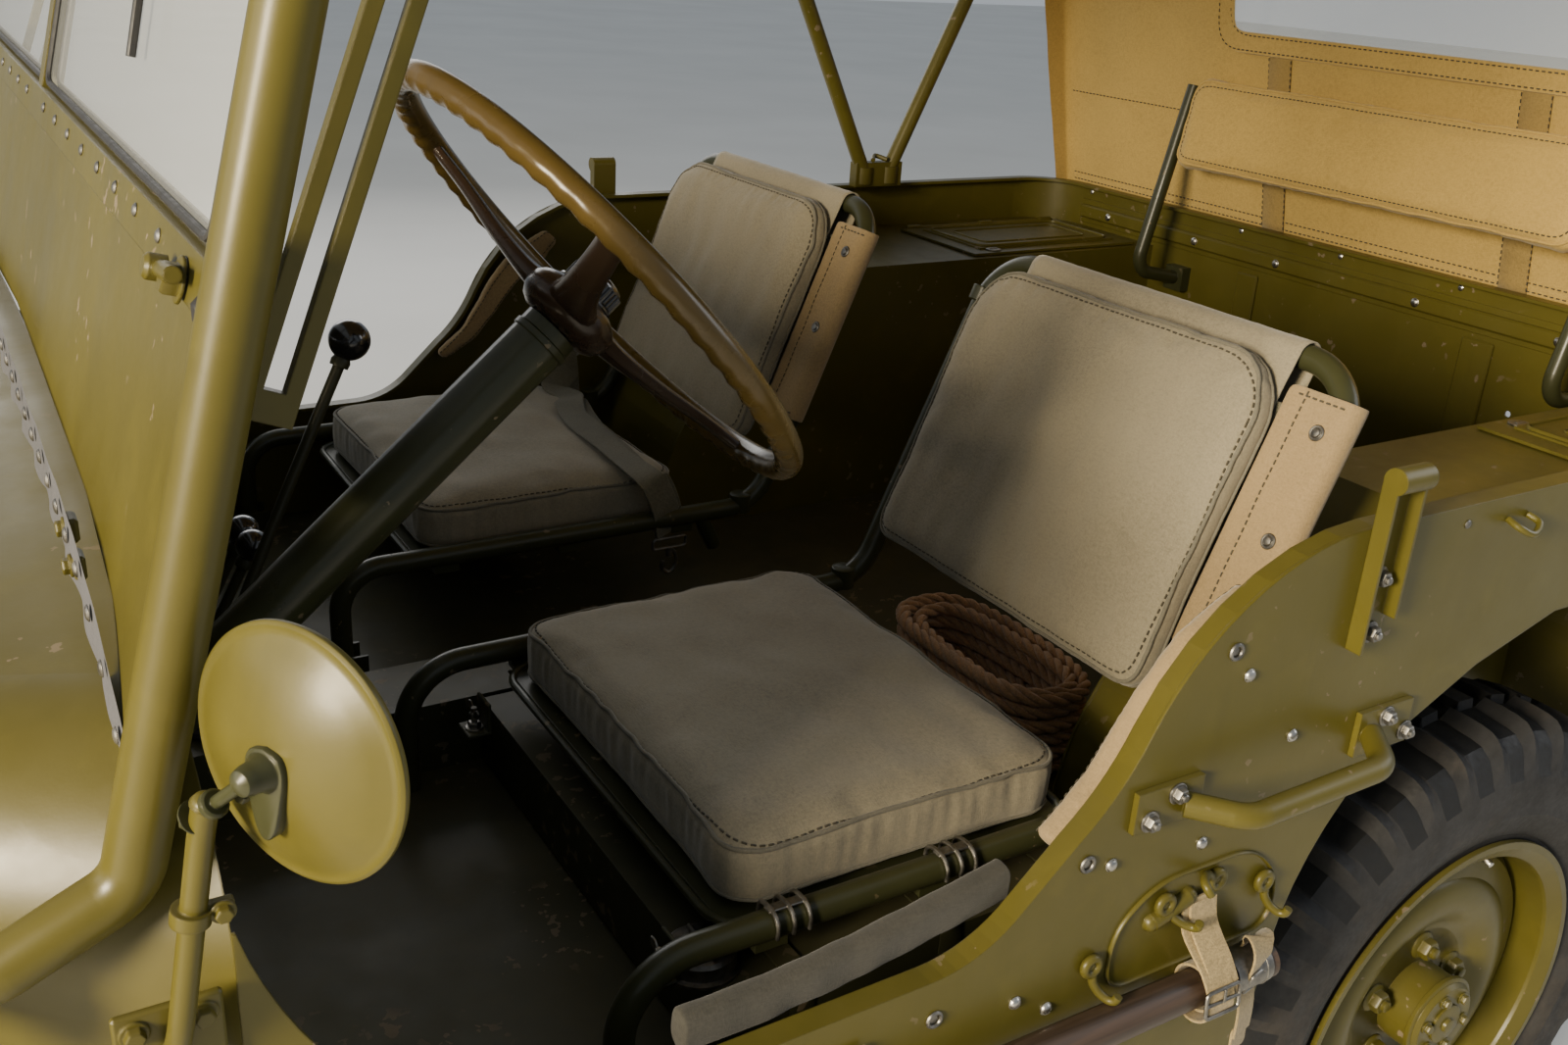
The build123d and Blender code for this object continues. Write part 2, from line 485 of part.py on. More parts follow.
bump = bx(2515.5, FRONT_X, -610, 610, 448, 572) - bx(2510, FRONT_X - 6, -620, 620, 455, 565)
for s in (-1, 1):
    bump += bx(2515.5, FRONT_X - 3, s * 321, s * 369, 470, 550)
BH_Y, BH_Z, BH_R = 140.0, 60.0, 5.5
for dy in (-1, 1):
    for dz in (-1, 1):
        bump -= cyl((FRONT_X - 12, dy * BH_Y / 2, 510 + dz * BH_Z / 2), (FRONT_X + 5, dy * BH_Y / 2, 510 + dz * BH_Z / 2), BH_R)
put("front_bumper", bump)

bumperettes = []
for s in (-1, 1):
    b = bx(-608, -602, s * 440, s * 620, 452, 530)
    b += bx(-608, -572, s * 440, s * 446, 452, 530)
    b += bx(-604, -566, s * 480, s * 510, 472, 520)
    b += bx(-568, -562, s * 371, s * 510, 472, 520)
    bumperettes.append(b)
put("rear_bumperettes", Compound(children=bumperettes))

hook = bx(-575, -567.5, -55, 55, 478, 540)
hook += cyl((-573, 0, 508), (-625, 0, 508), 24)
hook += bx(-690, -620, -16, 16, 486, 516)
hook += bx(-690, -668, -16, 16, 486, 548)
hook += bx(-640, -618, -16, 16, 486, 566)
hook += bx(-684, -618, -14, 14, 556, 568)
put("tow_hook", hook)

# ---------------------------------------------------------------- windscreen, folds forward on two side pivots


def ws(z, off=0.0):
    """x on the windscreen plane at height z, moved off mm along its forward normal."""
    return WS_X + WS_LEAN * (z - WS_Z) + off * 0.9686


def ws_plate(y0, y1, z0, z1, t, off=0.0):
    pts = [(ws(z0) - t / 2 + off, z0), (ws(z0) + t / 2 + off, z0), (ws(z1) + t / 2 + off, z1), (ws(z1) - t / 2 + off, z1)]
    return plate_xz(pts, y0, y1)


PX, PZ = WS_PIVOT
wsf = rod([(PX - 14, -WS_TUBE_Y + 12, PZ + 6), (1341, -WS_TUBE_Y, 932), (1278, -WS_TUBE_Y, 962), (ws(1075), -WS_TUBE_Y, 1075),
           (ws(WS_TOP - 16), -WS_TUBE_Y, WS_TOP - 16), (ws(WS_TOP - 16), WS_TUBE_Y, WS_TOP - 16),
           (ws(1075), WS_TUBE_Y, 1075), (1278, WS_TUBE_Y, 962), (1341, WS_TUBE_Y, 932), (PX - 14, WS_TUBE_Y - 12, PZ + 6)],
          WS_TUBE, 30)
for s in (-1, 1):
    wsf += cyl((PX, s * 668, PZ), (PX, s * 705, PZ), 20)
# lower panel: follows the cowl's crown, rounded shoulders
lower = plate_xz([(ws(960) - 2, 960), (ws(960) + 2, 960), (ws(1262) + 2, 1262), (ws(1262) - 2, 1262)], -WS_TUBE_Y, WS_TUBE_Y)
edge_pts = [(0, 1092), (435, 1077), (560, 1060), (618, 1032), (660, 998), (684, 972)]
yz = [(1100, y, z) for y, z in edge_pts]
arcs = [Line(yz[0], yz[1]), Line(yz[1], yz[2]), ThreePointArc(yz[2], yz[3], yz[4]), Line(yz[4], yz[5])]
down = arcs + [Line(yz[5], (1100, 760, 972)), Line((1100, 760, 972), (1100, 760, 900)), Line((1100, 760, 900), (1100, 0, 900)),
               Line((1100, 0, 900), yz[0])]
cut = extrude(make_face(down), amount=300, dir=(1, 0, 0))
cut += mirror(cut, about=Plane.XZ)
lower = lower - cut
wsf += lower
# shelf rail, glass channels and centre post
wsf += ws_plate(-WS_TUBE_Y, WS_TUBE_Y, 1246, 1272, 20)
wsf += ws_plate(-WS_TUBE_Y, WS_TUBE_Y, WS_TOP - 50, WS_TOP - 20, 16)
wsf += ws_plate(-11, 11, 1262, WS_TOP - 30, 16)
for s in (-1, 1):
    wsf += ws_plate(s * 662 if s > 0 else -700, 700 if s > 0 else -662, 1262, WS_TOP - 30, 14)

panes = []
for s in (-1, 1):
    y0, y1 = (11.4, 661.6) if s > 0 else (-661.6, -11.4)
    panes.append(ws_plate(y0, y1, 1272.5, WS_TOP - 50.5, 6))
put("windscreen_glass", Compound(children=panes))

# slotted adjusting arms beside the tubes
arms = []
for s in (-1, 1):
    y0, y1 = (612, 620) if s > 0 else (-620, -612)
    a = plate_xz([(1164, 1165), (1192, 1175.7), (1046.4, 1559), (1106.5, 1602), (1106.5, 1620), (1014, 1562)], y0, y1)
    arms.append(a - plate_xz([(1166, 1185), (1177.2, 1189.3), (1044.2, 1540), (1033, 1535.7)], y0 - 5, y1 + 5))
put("windscreen_frame", Compound(children=[wsf] + arms))

# canvas strip that closes the gap between windscreen and cowl
strip = None
for (ya, za), (yb, zb) in zip(edge_pts[:-1], edge_pts[1:]):
    face = make_face(Polyline((1262, ya, za - 40), (1262, yb, zb - 36), (1262, yb, zb + 6), (1262, ya, za + 6), close=True))
    p = extrude(face, amount=5, dir=(1, 0, 0))
    strip = p if strip is None else strip + p
strip += mirror(strip, about=Plane.XZ)
strip -= plate_xz([(ws(900) + 3, 900), (ws(1150) + 3, 1150), (1100, 1150), (1100, 900)], -760, 760)
strip -= loft([arch_section(COWL_REAR - 20, BODY_Y + 1 + 14.7, 1041.8 + 1.8, 153.0, 400.0), arch_section(COWL_FRONT, 586.0, 1023.0, 119.0, 400.0)], ruled=True)
put("cowl_curtain", strip)

# ---------------------------------------------------------------- steering column and wheel
n_up = Vector(-cos(COLUMN_TILT), 0, sin(COLUMN_TILT))      # from the wheel towards the driver
col_a = wc - n_up * 52
col_b = wc - n_up * 694
put("steering_column", cyl((col_a.X, col_a.Y, col_a.Z), (col_b.X, col_b.Y, col_b.Z), 24))
wp = Plane(wc, x_dir=(0, 1, 0), z_dir=n_up)
rim_edge = Pos(WHEEL_R, 0, 0) * (Plane.XZ * Circle(12))
sw = wp * revolve(rim_edge, axis=Axis.Z, revolution_arc=360)
sw += wp * Pos(0, 0, -28) * Cylinder(30, 36)
for k in range(3):
    a = radians(90 + 120 * k)
    d = wp.x_dir * cos(a) + wp.y_dir * sin(a)
    p = wc - n_up * 28 + d * 10
    q = wc + d * (WHEEL_R - 5)
    m = wc + d * 75 - n_up * 26
    sw += rod([(p.X, p.Y, p.Z), (m.X, m.Y, m.Z), (q.X, q.Y, q.Z)], 15, 60)
put("steering_wheel", sw)

# ---------------------------------------------------------------- levers and pedals
ctl = []


def knob(base, mid, tip, d, r):
    bar = cyl(base, mid, d / 2) + cyl(mid, tip, d / 2) + Pos(*mid) * Sphere(d / 2)
    way = (Vector(*tip) - Vector(*mid)).normalized()
    c = Vector(*tip) + way * (r * 0.8)
    return bar + Pos(c.X, c.Y, c.Z) * Sphere(r)


ctl.append(knob((1120, -15, 643), (1085, -20, 760), (960, -52, 1002), 12, 21))
for y in (-72.0, -114.0):
    ctl.append(knob((1150, y, 563), (1130, y, 660), (1066, y, 790), 11, 17))
for y in (250.0, 390.0):
    ctl.append(cyl((1330, y, 664), (1290, y, 700), 7) + cyl((1290, y, 700), (1210, y, 738), 7) + Pos(1290, y, 700) * Sphere(7)
               + bx(1204, 1214, y - 32, y + 32, 708, 768))
put("driver_controls", Compound(children=ctl))

# ---------------------------------------------------------------- front seats


RAIL_BEND = (388.0, 218.0, 1085.0)      # where the back hoop starts, its top x and z


def seat_frame(ya, yb, foot_a, foot_b):
    rz = SEAT_RAIL_Z
    xb, xt, zt = RAIL_BEND
    leg = SEAT_LEG_X
    pts = [(leg, ya, foot_a), (leg, ya, rz), (xb, ya, rz), (xt, ya, zt), (xt, yb, zt), (xb, yb, rz), (leg, yb, rz), (leg, yb, foot_b)]
    s = rod(pts, SEAT_TUBE, 66)
    for x in (500, 660, 820):
        s += bx(x - 15, x + 15, ya, yb, 679, 684.5)
        for y in (ya, yb):
            s += bx(x - 15, x + 15, y - 5, y + 5, 679, rz)
    for y in (ya, yb):
        s += cyl((470, y, 694), (448, y, foot_b if foot_b > 600 else 650), 10)
    # cross straps that carry the back cushion
    for t in (0.3, 0.65):
        x, z = xb + (xt - xb) * t, rz + (zt - rz) * t
        s += plate_xz([(x - 3, z - 14), (x + 2, z - 12), (x - 8, z + 14), (x - 13, z + 12)], ya, yb)
    return s


def cushion(y0, y1):
    c = bx(CUSH_X[0], CUSH_X[1], y0, y1, CUSH_Z[0], CUSH_Z[1])
    c = fillet(c.edges().filter_by(Axis.Z), 38)
    return fillet(c.edges().group_by(Axis.Z)[-1], 14)


def back_cushion(y0, y1):
    (xl, zl), (xh, zh) = BACK_LOW, BACK_HIGH
    L = sqrt((xh - xl) ** 2 + (zh - zl) ** 2)
    ux, uz = (xh - xl) / L, (zh - zl) / L
    pl = Plane(origin=(xl, (y0 + y1) / 2, zl), x_dir=(0, 1, 0), z_dir=(uz, 0, -ux))
    b = pl * Pos(0, L / 2, -BACK_T / 2) * Box(y1 - y0, L, BACK_T)
    b = fillet(b.edges().filter_by(lambda e: abs((e % 0.5).dot(pl.z_dir)) > 0.99 and (e @ 0.5).Z > (zl + zh) / 2), 75)
    return b


dframe = seat_frame(SEAT_TUBE_Y[0], SEAT_TUBE_Y[1], FLOOR_Z + 0.5, FLOOR_Z + 0.5)
put("driver_seat_frame", dframe)
pya, pyb = PASS_TUBE_Y
pframe = Pos(PASS_BACK_X, 0, 0) * seat_frame(pya, pyb, FLOOR_Z + 26, FLOOR_Z + 26)
PASS_PIVOT = (SEAT_LEG_X + PASS_BACK_X, FLOOR_Z + 26)
for y in PASS_TUBE_Y:            # pins the seat tips about
    pframe += cyl((PASS_PIVOT[0], y - 15, PASS_PIVOT[1]), (PASS_PIVOT[0], y + 15, PASS_PIVOT[1]), 8)
put("passenger_seat_frame", pframe)
put("driver_cushions", Compound(children=[cushion(*CUSH_Y), back_cushion(*BACK_Y)]))
put("passenger_cushions", Compound(children=[Pos(PASS_BACK_X, 0, 0) * cushion(pya + 14, pyb - 14),
                                             Pos(PASS_BACK_X, 0, 0) * back_cushion(pya + 16, pyb - 38)]))

# ---------------------------------------------------------------- rear bench
RB = rod([(-470, -400, 700), (-130, -400, 700), (-130, 400, 700), (-470, 400, 700)], SEAT_TUBE, 50)
for x in (-420, -300, -190):
    RB += bx(x - 12, x + 12, -400, 400, 688, 694)
for s in (-1, 1):
    RB += cyl((-470, s * 388, 700), (-470, s * 412, 700), 17)
put("rear_seat_frame", RB)
rc = bx(-446, -118, -408, 408, 713.5, 775)
put("rear_seat_cushion", fillet(rc.edges().filter_by(Axis.Z), 35))
# rear back rest, on two tubes that stand on the wheel boxes
rb = plate_xz([(-505, 1098), (-467, 1098), (-502, 1252), (-540, 1252)], -360, 360)
put("rear_back_cushion", rb)
brackets = []
for s in (-1, 1):
    y = s * 374
    brackets.append(rod([(-556, y, 905), (-455, y, 925), (-492, y, 1075), (-526, y, 1225)], 22, 30) + bx(-566.6, -548, y - 20, y + 20, 885, 925))
    brackets.append(bx(-490, -450, s * 415, s * 449.7, 676, 724) - cyl((-470, s * 380, 700), (-470, s * 452, 700), 18.5))
# pivot brackets of the passenger's seat, on the floor
px0, px1 = PASS_PIVOT[0] - 25, PASS_PIVOT[0] + 25
for y in PASS_TUBE_Y:
    f = FLOOR_Z + 0.2
    brackets.append(bx(px0, px1, y - 21, y - 17, f, f + 36) + bx(px0, px1, y + 17, y + 21, f, f + 36) + bx(px0, px1, y - 21, y + 21, f, f + 5))
put("seat_brackets", Compound(children=brackets))

# ---------------------------------------------------------------- hip pads on the body edge
pads = []
pad_line = [(470, 978), (523, 950), (560, 912), (590, 866), (612, 834), (650, 796), (638, 784), (598, 806), (560, 842), (520, 890), (478, 925), (452, 958)]
for y0, y1 in ((690, 714.4), (-714.4, -699.4)):
    pads.append(plate_xz(pad_line, y0, y1))
put("hip_pads", Compound(children=pads))

# ---------------------------------------------------------------- tool lids, hinged along their outer edge
for s, name in ((1, "tool_lid_left"), (-1, "tool_lid_right")):
    lid = bx(LID[0], LID[1], s * LID[2], s * LID[3], BOX_Z + 1.0, BOX_Z + 5.0)
    lid += bx(LID[0] + 30, LID[1] - 30, s * (LID[2] + 25), s * (LID[3] - 25), BOX_Z + 4, BOX_Z + 8)
    lid += cyl((LID[0] + 12, s * LID[3], BOX_Z + 5.0), (LID[1] - 12, s * LID[3], BOX_Z + 5.0), 3.2)
    put(name, lid)

# ---------------------------------------------------------------- top bows, brackets and canvas
fb = rod([(-108, -700, 1046), (233, -690, 1722), (233, 690, 1722), (-108, 700, 1046)], 25, 110)
rbw = rod([(-160, -700, 1046), (-446, -690, 1672), (-446, 690, 1672), (-160, 700, 1046)], 25, 110)
clamps = [bx(-182, -88, s * 690, s * 710, TUB_TOP + 0.5, 1062) for s in (-1, 1)]
put("top_bows", fb + rbw + clamps[0] + clamps[1])

CAN_T = 4.0
line = [(1086, 1655), (243, 1741), (-462, 1690), (-592, 1000)]
can = strip_xz(line, CAN_T, -712, 712)
for s in (-1, 1):
    can += plate_xz([(1086, 1653), (243, 1739), (-460, 1688), (-588, 1004), (-556, 1030), (-424, 1610), (243, 1665), (1086, 1590)],
                    s * 708, s * 713)
can -= bx(-700, -450, -330, 330, 1330, 1500)
put("canvas_top", can)

# ---------------------------------------------------------------- small fixed pieces
handles = []
HAND_X, HAND_Z, HAND_Y = (326.0, 545.0), 822.0, 781.0
BRK = (340.0, 377.0)                 # bow bracket, a channel open outward
for s in (-1, 1):
    xa, xb = HAND_X
    h = rod([(xb, s * 744, HAND_Z), (xb - 34, s * HAND_Y, HAND_Z - 1), (xa + 30, s * HAND_Y, HAND_Z + 3), (xa, s * 744, HAND_Z + 5)], 21, 30)
    h += bx(xb - 22, xb + 48, s * 735.2, s * 741, HAND_Z - 17, HAND_Z + 19)
    h += bx(xa - 54, xa + 14, s * 735.2, s * 741, HAND_Z - 16, HAND_Z + 26)
    k = bx(BRK[0], BRK[1], s * 735.2, s * 738.2, 916, 1062)
    k += bx(BRK[0], BRK[0] + 3, s * 735.2, s * 750, 942, 1062) + bx(BRK[1] - 3, BRK[1], s * 735.2, s * 750, 916, 1062)
    k += cyl((BRK[0], s * 746, 1064), (BRK[1], s * 746, 1064), 11)
    handles += [h, k]
put("grab_handles", Compound(children=handles))

# round mirror on an arm from the left cowl side
mc = Vector(1206, 773, 1060)
mn = Vector(0.862, 0.503, 0.058).normalized()      # from the glass out through the back
mp = Plane(mc, z_dir=mn)
dish = mp * revolve(make_face(Polyline((0, 0, -4), (64, 0, -4), (66, 0, 2), (59, 0, 9), (35, 0, 17), (0, 0, 21), close=True)),
                    axis=Axis((0, 0, 0), (0, 0, 1)), revolution_arc=360)
mj = mc + mn * 30
arm = rod([(1272, 742, 880), (1269, 753, 905), (1248, 759, 1036), (mj.X, mj.Y, mj.Z)], 13, 12)
arm += bx(1245, 1300, 735.4, 743, 850, 915)
mi = mc + mn * 15
arm += cyl((mi.X, mi.Y, mi.Z), (mj.X, mj.Y, mj.Z), 9)
arm += Pos(mj.X, mj.Y, mj.Z) * Sphere(11)
put("side_mirror", dish + arm)

# shovel and axe lashed to the left side, below the sill
tools = cyl((430, 757, 640), (1080, 757, 640), 17)
tools += bx(1075, 1340, 748, 760, 585, 700)
put("side_tools", tools)

rope = bx(228, 372, 80, 372, FLOOR_Z + 0.3, 700)
rope = fillet(rope.edges().filter_by(Axis.Y), 40)
put("rope_coil", rope)

# strap of the passenger's seat, where it lies on the cushion
strap = bx(506, 556, pyb - 320, pyb - 30, 755.4, 760.4)
put("safety_strap", strap)

# ---------------------------------------------------------------- write
MOVE = Pos(SHIFT_X, 0, SHIFT_Z)
for name, shape in PARTS.items():
    solids = shape.solids()
    out = [MOVE * s for s in solids]
    res = out[0] if len(out) == 1 else Compound(children=out)
    export_step(res, "parts/%s.step" % name)
    print(name, len(out), round(sum(s.volume for s in out) / 1e6, 2))
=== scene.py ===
import bpy
import bmesh
import numpy as np
from math import sin, cos, tan, pi, radians, sqrt, atan2, hypot
from mathutils import Vector, Matrix, noise
from mathutils.bvhtree import BVHTree


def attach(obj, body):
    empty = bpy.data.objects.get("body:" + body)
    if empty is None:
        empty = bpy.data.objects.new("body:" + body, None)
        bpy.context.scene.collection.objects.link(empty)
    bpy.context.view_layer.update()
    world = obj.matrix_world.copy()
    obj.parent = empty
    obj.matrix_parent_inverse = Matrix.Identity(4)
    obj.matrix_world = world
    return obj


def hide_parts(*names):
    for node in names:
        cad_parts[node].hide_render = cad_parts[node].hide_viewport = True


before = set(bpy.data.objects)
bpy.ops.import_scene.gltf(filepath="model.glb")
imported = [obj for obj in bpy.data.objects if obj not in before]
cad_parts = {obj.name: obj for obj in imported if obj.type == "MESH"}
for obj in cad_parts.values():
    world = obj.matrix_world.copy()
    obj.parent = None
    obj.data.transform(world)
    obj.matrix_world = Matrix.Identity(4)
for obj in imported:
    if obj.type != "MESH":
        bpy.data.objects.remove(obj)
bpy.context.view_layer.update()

scene = bpy.context.scene

# Lengths below are in mm from the rear axle (x forward, y left, z up from the tyres' loaded ground);
# W turns them into the frame's metres.


def W(p):
    return Vector((p[0] / 1000 - 0.896, p[1] / 1000, p[2] / 1000 + 0.007))


def V(*a):
    return Vector(a)


# ---------------------------------------------------------------- camera
yaw, pitch, roll = 0.5674, 0.3917, 0.0632
fw = V(-sin(yaw) * cos(pitch), -cos(yaw) * cos(pitch), -sin(pitch))
rt = fw.cross(V(0, 0, 1)).normalized()
up = rt.cross(fw)
r2, u2 = rt * cos(roll) + up * sin(roll), up * cos(roll) - rt * sin(roll)
cam_data = bpy.data.cameras.new("camera")
cam = bpy.data.objects.new("camera", cam_data)
scene.collection.objects.link(cam)
cam_data.sensor_fit = "HORIZONTAL"
cam_data.sensor_width = 36.0
cam_data.lens = 33.266
cam_data.clip_start, cam_data.clip_end = 0.01, 200
loc = W((1332.1, 1379.1, 1431.3))
cam.matrix_world = Matrix(((r2.x, u2.x, -fw.x, loc.x), (r2.y, u2.y, -fw.y, loc.y), (r2.z, u2.z, -fw.z, loc.z), (0, 0, 0, 1)))
scene.camera = cam

# ---------------------------------------------------------------- floor and light


def aim(ob, target):
    ob.rotation_mode = "QUATERNION"
    ob.rotation_quaternion = (Vector(target) - ob.location).to_track_quat("-Z", "Y")


def area_light(name, at, target, size, power, colour=(1, 1, 1)):
    d = bpy.data.lights.new(name, "AREA")
    d.shape, d.size, d.size_y, d.energy, d.color = "RECTANGLE", size[0], size[1], power, colour
    o = bpy.data.objects.new(name, d)
    o.location = at
    scene.collection.objects.link(o)
    aim(o, target)
    return o


area_light("key_light", (4.9, 2.3, 2.5), (0, 0, 0.8), (1.4, 1.4), 900, (1.0, 0.85, 0.60))
area_light("front_light", (5.5, -1.5, 2.6), (0.3, 0, 0.8), (3.0, 2.2), 60, (1.0, 0.96, 0.88))
area_light("right_light", (-1.0, -5.5, 3.0), (0, 0, 0.8), (4.0, 2.5), 80, (1.0, 0.97, 0.92))
area_light("rear_light", (-5.2, 2.2, 3.4), (0, 0, 0.8), (3.2, 2.4), 90, (0.97, 0.98, 1.0))
world = bpy.data.worlds.new("studio")
world.use_nodes = True
world.node_tree.nodes["Background"].inputs[0].default_value = (0.82, 0.89, 0.96, 1)
world.node_tree.nodes["Background"].inputs[1].default_value = 0.47
scene.world = world

# ---------------------------------------------------------------- materials


class Nodes:
    def __init__(self, name):
        self.m = bpy.data.materials.new(name)
        self.m.use_nodes = True
        self.t = self.m.node_tree
        self.t.nodes.clear()
        self.out = self.t.nodes.new("ShaderNodeOutputMaterial")
        self.b = self.t.nodes.new("ShaderNodeBsdfPrincipled")
        self.t.links.new(self.b.outputs[0], self.out.inputs[0])
        self.co = self.t.nodes.new("ShaderNodeTexCoord").outputs["Object"]

    def new(self, kind, props=None, **ins):
        n = self.t.nodes.new(kind)
        for k, v in (props or {}).items():
            setattr(n, k, v)
        for k, v in ins.items():
            key = int(k[1:]) if k[0] == "i" and k[1:].isdigit() else k.replace("_", " ")
            s = n.inputs[key]
            if isinstance(v, bpy.types.NodeSocket):
                self.t.links.new(v, s)
            else:
                s.default_value = v
        return n

    def scaled(self, scale, rot=(0, 0, 0)):
        return self.new("ShaderNodeMapping", Vector=self.co, Scale=scale, Rotation=rot).outputs[0]

    def noise(self, scale, detail=4, rough=0.55, vec=None, distortion=0.0):
        return self.new("ShaderNodeTexNoise", Vector=vec or self.co, Scale=scale, Detail=detail, Roughness=rough,
                        Distortion=distortion).outputs[0]

    def ramp(self, fac, a, b, lo=0.0, hi=1.0):
        n = self.new("ShaderNodeMapRange", {"clamp": True}, Value=fac)
        for k, v in zip((1, 2, 3, 4), (a, b, lo, hi)):
            n.inputs[k].default_value = v
        return n.outputs[0]

    def math(self, op, a, b=0.0):
        return self.new("ShaderNodeMath", {"operation": op}, i0=a, i1=b).outputs[0]

    def mix(self, fac, a, b, mode="MIX"):
        n = self.t.nodes.new("ShaderNodeMix")
        n.data_type, n.blend_type = "RGBA", mode
        for idx, v in ((0, fac), (6, a), (7, b)):
            if isinstance(v, bpy.types.NodeSocket):
                self.t.links.new(v, n.inputs[idx])
            else:
                n.inputs[idx].default_value = v if idx == 0 or len(v) == 4 else (*v, 1)
        return n.outputs[2]

    def set(self, **ins):
        for k, v in ins.items():
            s = self.b.inputs[k.replace("_", " ")]
            if isinstance(v, bpy.types.NodeSocket):
                self.t.links.new(v, s)
            else:
                s.default_value = v if not isinstance(v, tuple) or len(v) != 3 else (*v, 1)

    def bump(self, height, strength, distance, normal=None):
        n = self.new("ShaderNodeBump", Height=height, Strength=strength, Distance=distance)
        if normal is not None:
            self.t.links.new(normal, n.inputs["Normal"])
        return n.outputs[0]

    def bevel(self, radius, samples=3):
        n = self.t.nodes.new("ShaderNodeBevel")
        n.samples = samples
        n.inputs["Radius"].default_value = radius
        return n.outputs[0]


def tint(c, k):
    return tuple(min(1, x * k) for x in c)


def paint(name, c, rough=0.40, dust=0.25, edge=0.0014, wear=0.0, peel=0.10):
    """Brushed and sprayed paint: cloudy tone, faint runs, dust on what faces up, chips where wear is given."""
    n = Nodes(name)
    big = n.noise(2.6, 5, 0.6)
    mid = n.noise(19, 6, 0.6, distortion=0.4)
    col = n.mix(n.ramp(big, 0.3, 0.72), tint(c, 0.84), tint(c, 1.13))
    col = n.mix(n.ramp(mid, 0.52, 0.74, 0, 0.45), col, tint(c, 1.28))
    streak = n.noise(1.0, 5, 0.65, n.scaled((24, 24, 2.2)))
    col = n.mix(n.ramp(streak, 0.55, 0.78, 0, 0.35), col, tint(c, 0.72))
    geo = n.new("ShaderNodeNewGeometry")
    upz = n.new("ShaderNodeSeparateXYZ", Vector=geo.outputs["Normal"]).outputs[2]
    lying = n.math("MULTIPLY", n.ramp(upz, 0.55, 1.0), n.ramp(n.noise(7, 7, 0.7), 0.35, 0.75, 0.15, 1.0))
    col = n.mix(n.math("MULTIPLY", lying, dust * 0.75), col, (0.16, 0.135, 0.070, 1))
    rgh = n.ramp(n.noise(11, 5, 0.65), 0.3, 0.7, rough - 0.07, rough + 0.10)
    rgh = n.math("ADD", rgh, n.math("MULTIPLY", lying, dust * 0.6))
    if wear:
        chips = n.ramp(n.noise(64, 3, 0.5), 0.69 - wear * 0.08, 0.70 - wear * 0.08)
        where = n.ramp(n.noise(5, 3, 0.6), 0.50, 0.58)
        k = n.math("MULTIPLY", chips, where)
        col = n.mix(k, col, (0.16, 0.125, 0.075, 1))
        rgh = n.math("ADD", rgh, n.math("MULTIPLY", k, 0.15))
    n.set(Base_Color=col, Roughness=rgh, Specular_IOR_Level=0.30, Coat_Weight=0.10, Coat_Roughness=0.22)
    nor = n.bevel(edge) if edge else None
    h = n.math("ADD", n.math("MULTIPLY", n.noise(420, 2, 0.5), 0.5), n.math("MULTIPLY", n.noise(58, 3, 0.5), 0.8))
    n.set(Normal=n.bump(h, peel, 0.0006, nor))
    return n.m


def cloth(name, c, pitch=1.1, contrast=0.30, rough=0.86, sheen=0.25, stain=0.5, bump=0.5, diag=False):
    """Plain weave out of thick and thin yarns both ways, with cloudy fading and a few dark marks."""
    n = Nodes(name)
    rot = (0.35, 0.5, 0.785 if diag else 0.12)
    f = 1000.0 / pitch
    yarn = n.noise(1.0, 2, 0.5, n.scaled((f, f * 0.22, f * 0.22), rot))
    yarn2 = n.noise(1.0, 2, 0.5, n.scaled((f * 0.22, f, f * 0.25), rot))
    yarn3 = n.noise(1.0, 2, 0.5, n.scaled((f * 0.25, f * 0.22, f), rot))
    grain = n.noise(f * 0.55, 3, 0.6)
    cloud = n.noise(4.2, 6, 0.62)
    spots = n.noise(13, 7, 0.7, distortion=0.8)
    weave = n.math("ADD", n.math("MULTIPLY", yarn, 0.4), n.math("ADD", n.math("MULTIPLY", yarn2, 0.3), n.math("MULTIPLY", yarn3, 0.3)))
    col = n.mix(n.ramp(weave, 0.36, 0.64), tint(c, 1 - contrast), tint(c, 1 + contrast))
    col = n.mix(n.ramp(grain, 0.48, 0.72, 0, 0.5), col, tint(c, 1.35))
    col = n.mix(n.ramp(yarn, 0.60, 0.75, 0, 0.6), col, tint(c, 0.66))
    col = n.mix(n.ramp(cloud, 0.36, 0.70, 0, 0.6), col, tint(c, 1.26))
    col = n.mix(n.ramp(spots, 0.56, 0.80, 0, stain), col, tint(c, 0.56))
    n.set(Base_Color=col, Roughness=rough, Specular_IOR_Level=0.25, Sheen_Weight=sheen, Sheen_Roughness=0.5)
    h = n.math("ADD", n.math("MULTIPLY", weave, 1.4), n.math("ADD", n.math("MULTIPLY", grain, 0.5), n.math("MULTIPLY", spots, 0.7)))
    n.set(Normal=n.bump(h, bump, 0.0007))
    return n.m


def metal(name, c, rough=0.32, metallic=1.0, scale=90):
    n = Nodes(name)
    a = n.noise(scale, 4, 0.6)
    col = n.mix(n.ramp(a, 0.35, 0.7), tint(c, 0.62), tint(c, 1.12))
    n.set(Base_Color=col, Metallic=metallic, Roughness=n.ramp(n.noise(scale * 2.2, 3), 0.3, 0.7, rough - 0.1, rough + 0.16))
    n.set(Normal=n.bump(a, 0.15, 0.0004, n.bevel(0.0006)))
    return n.m


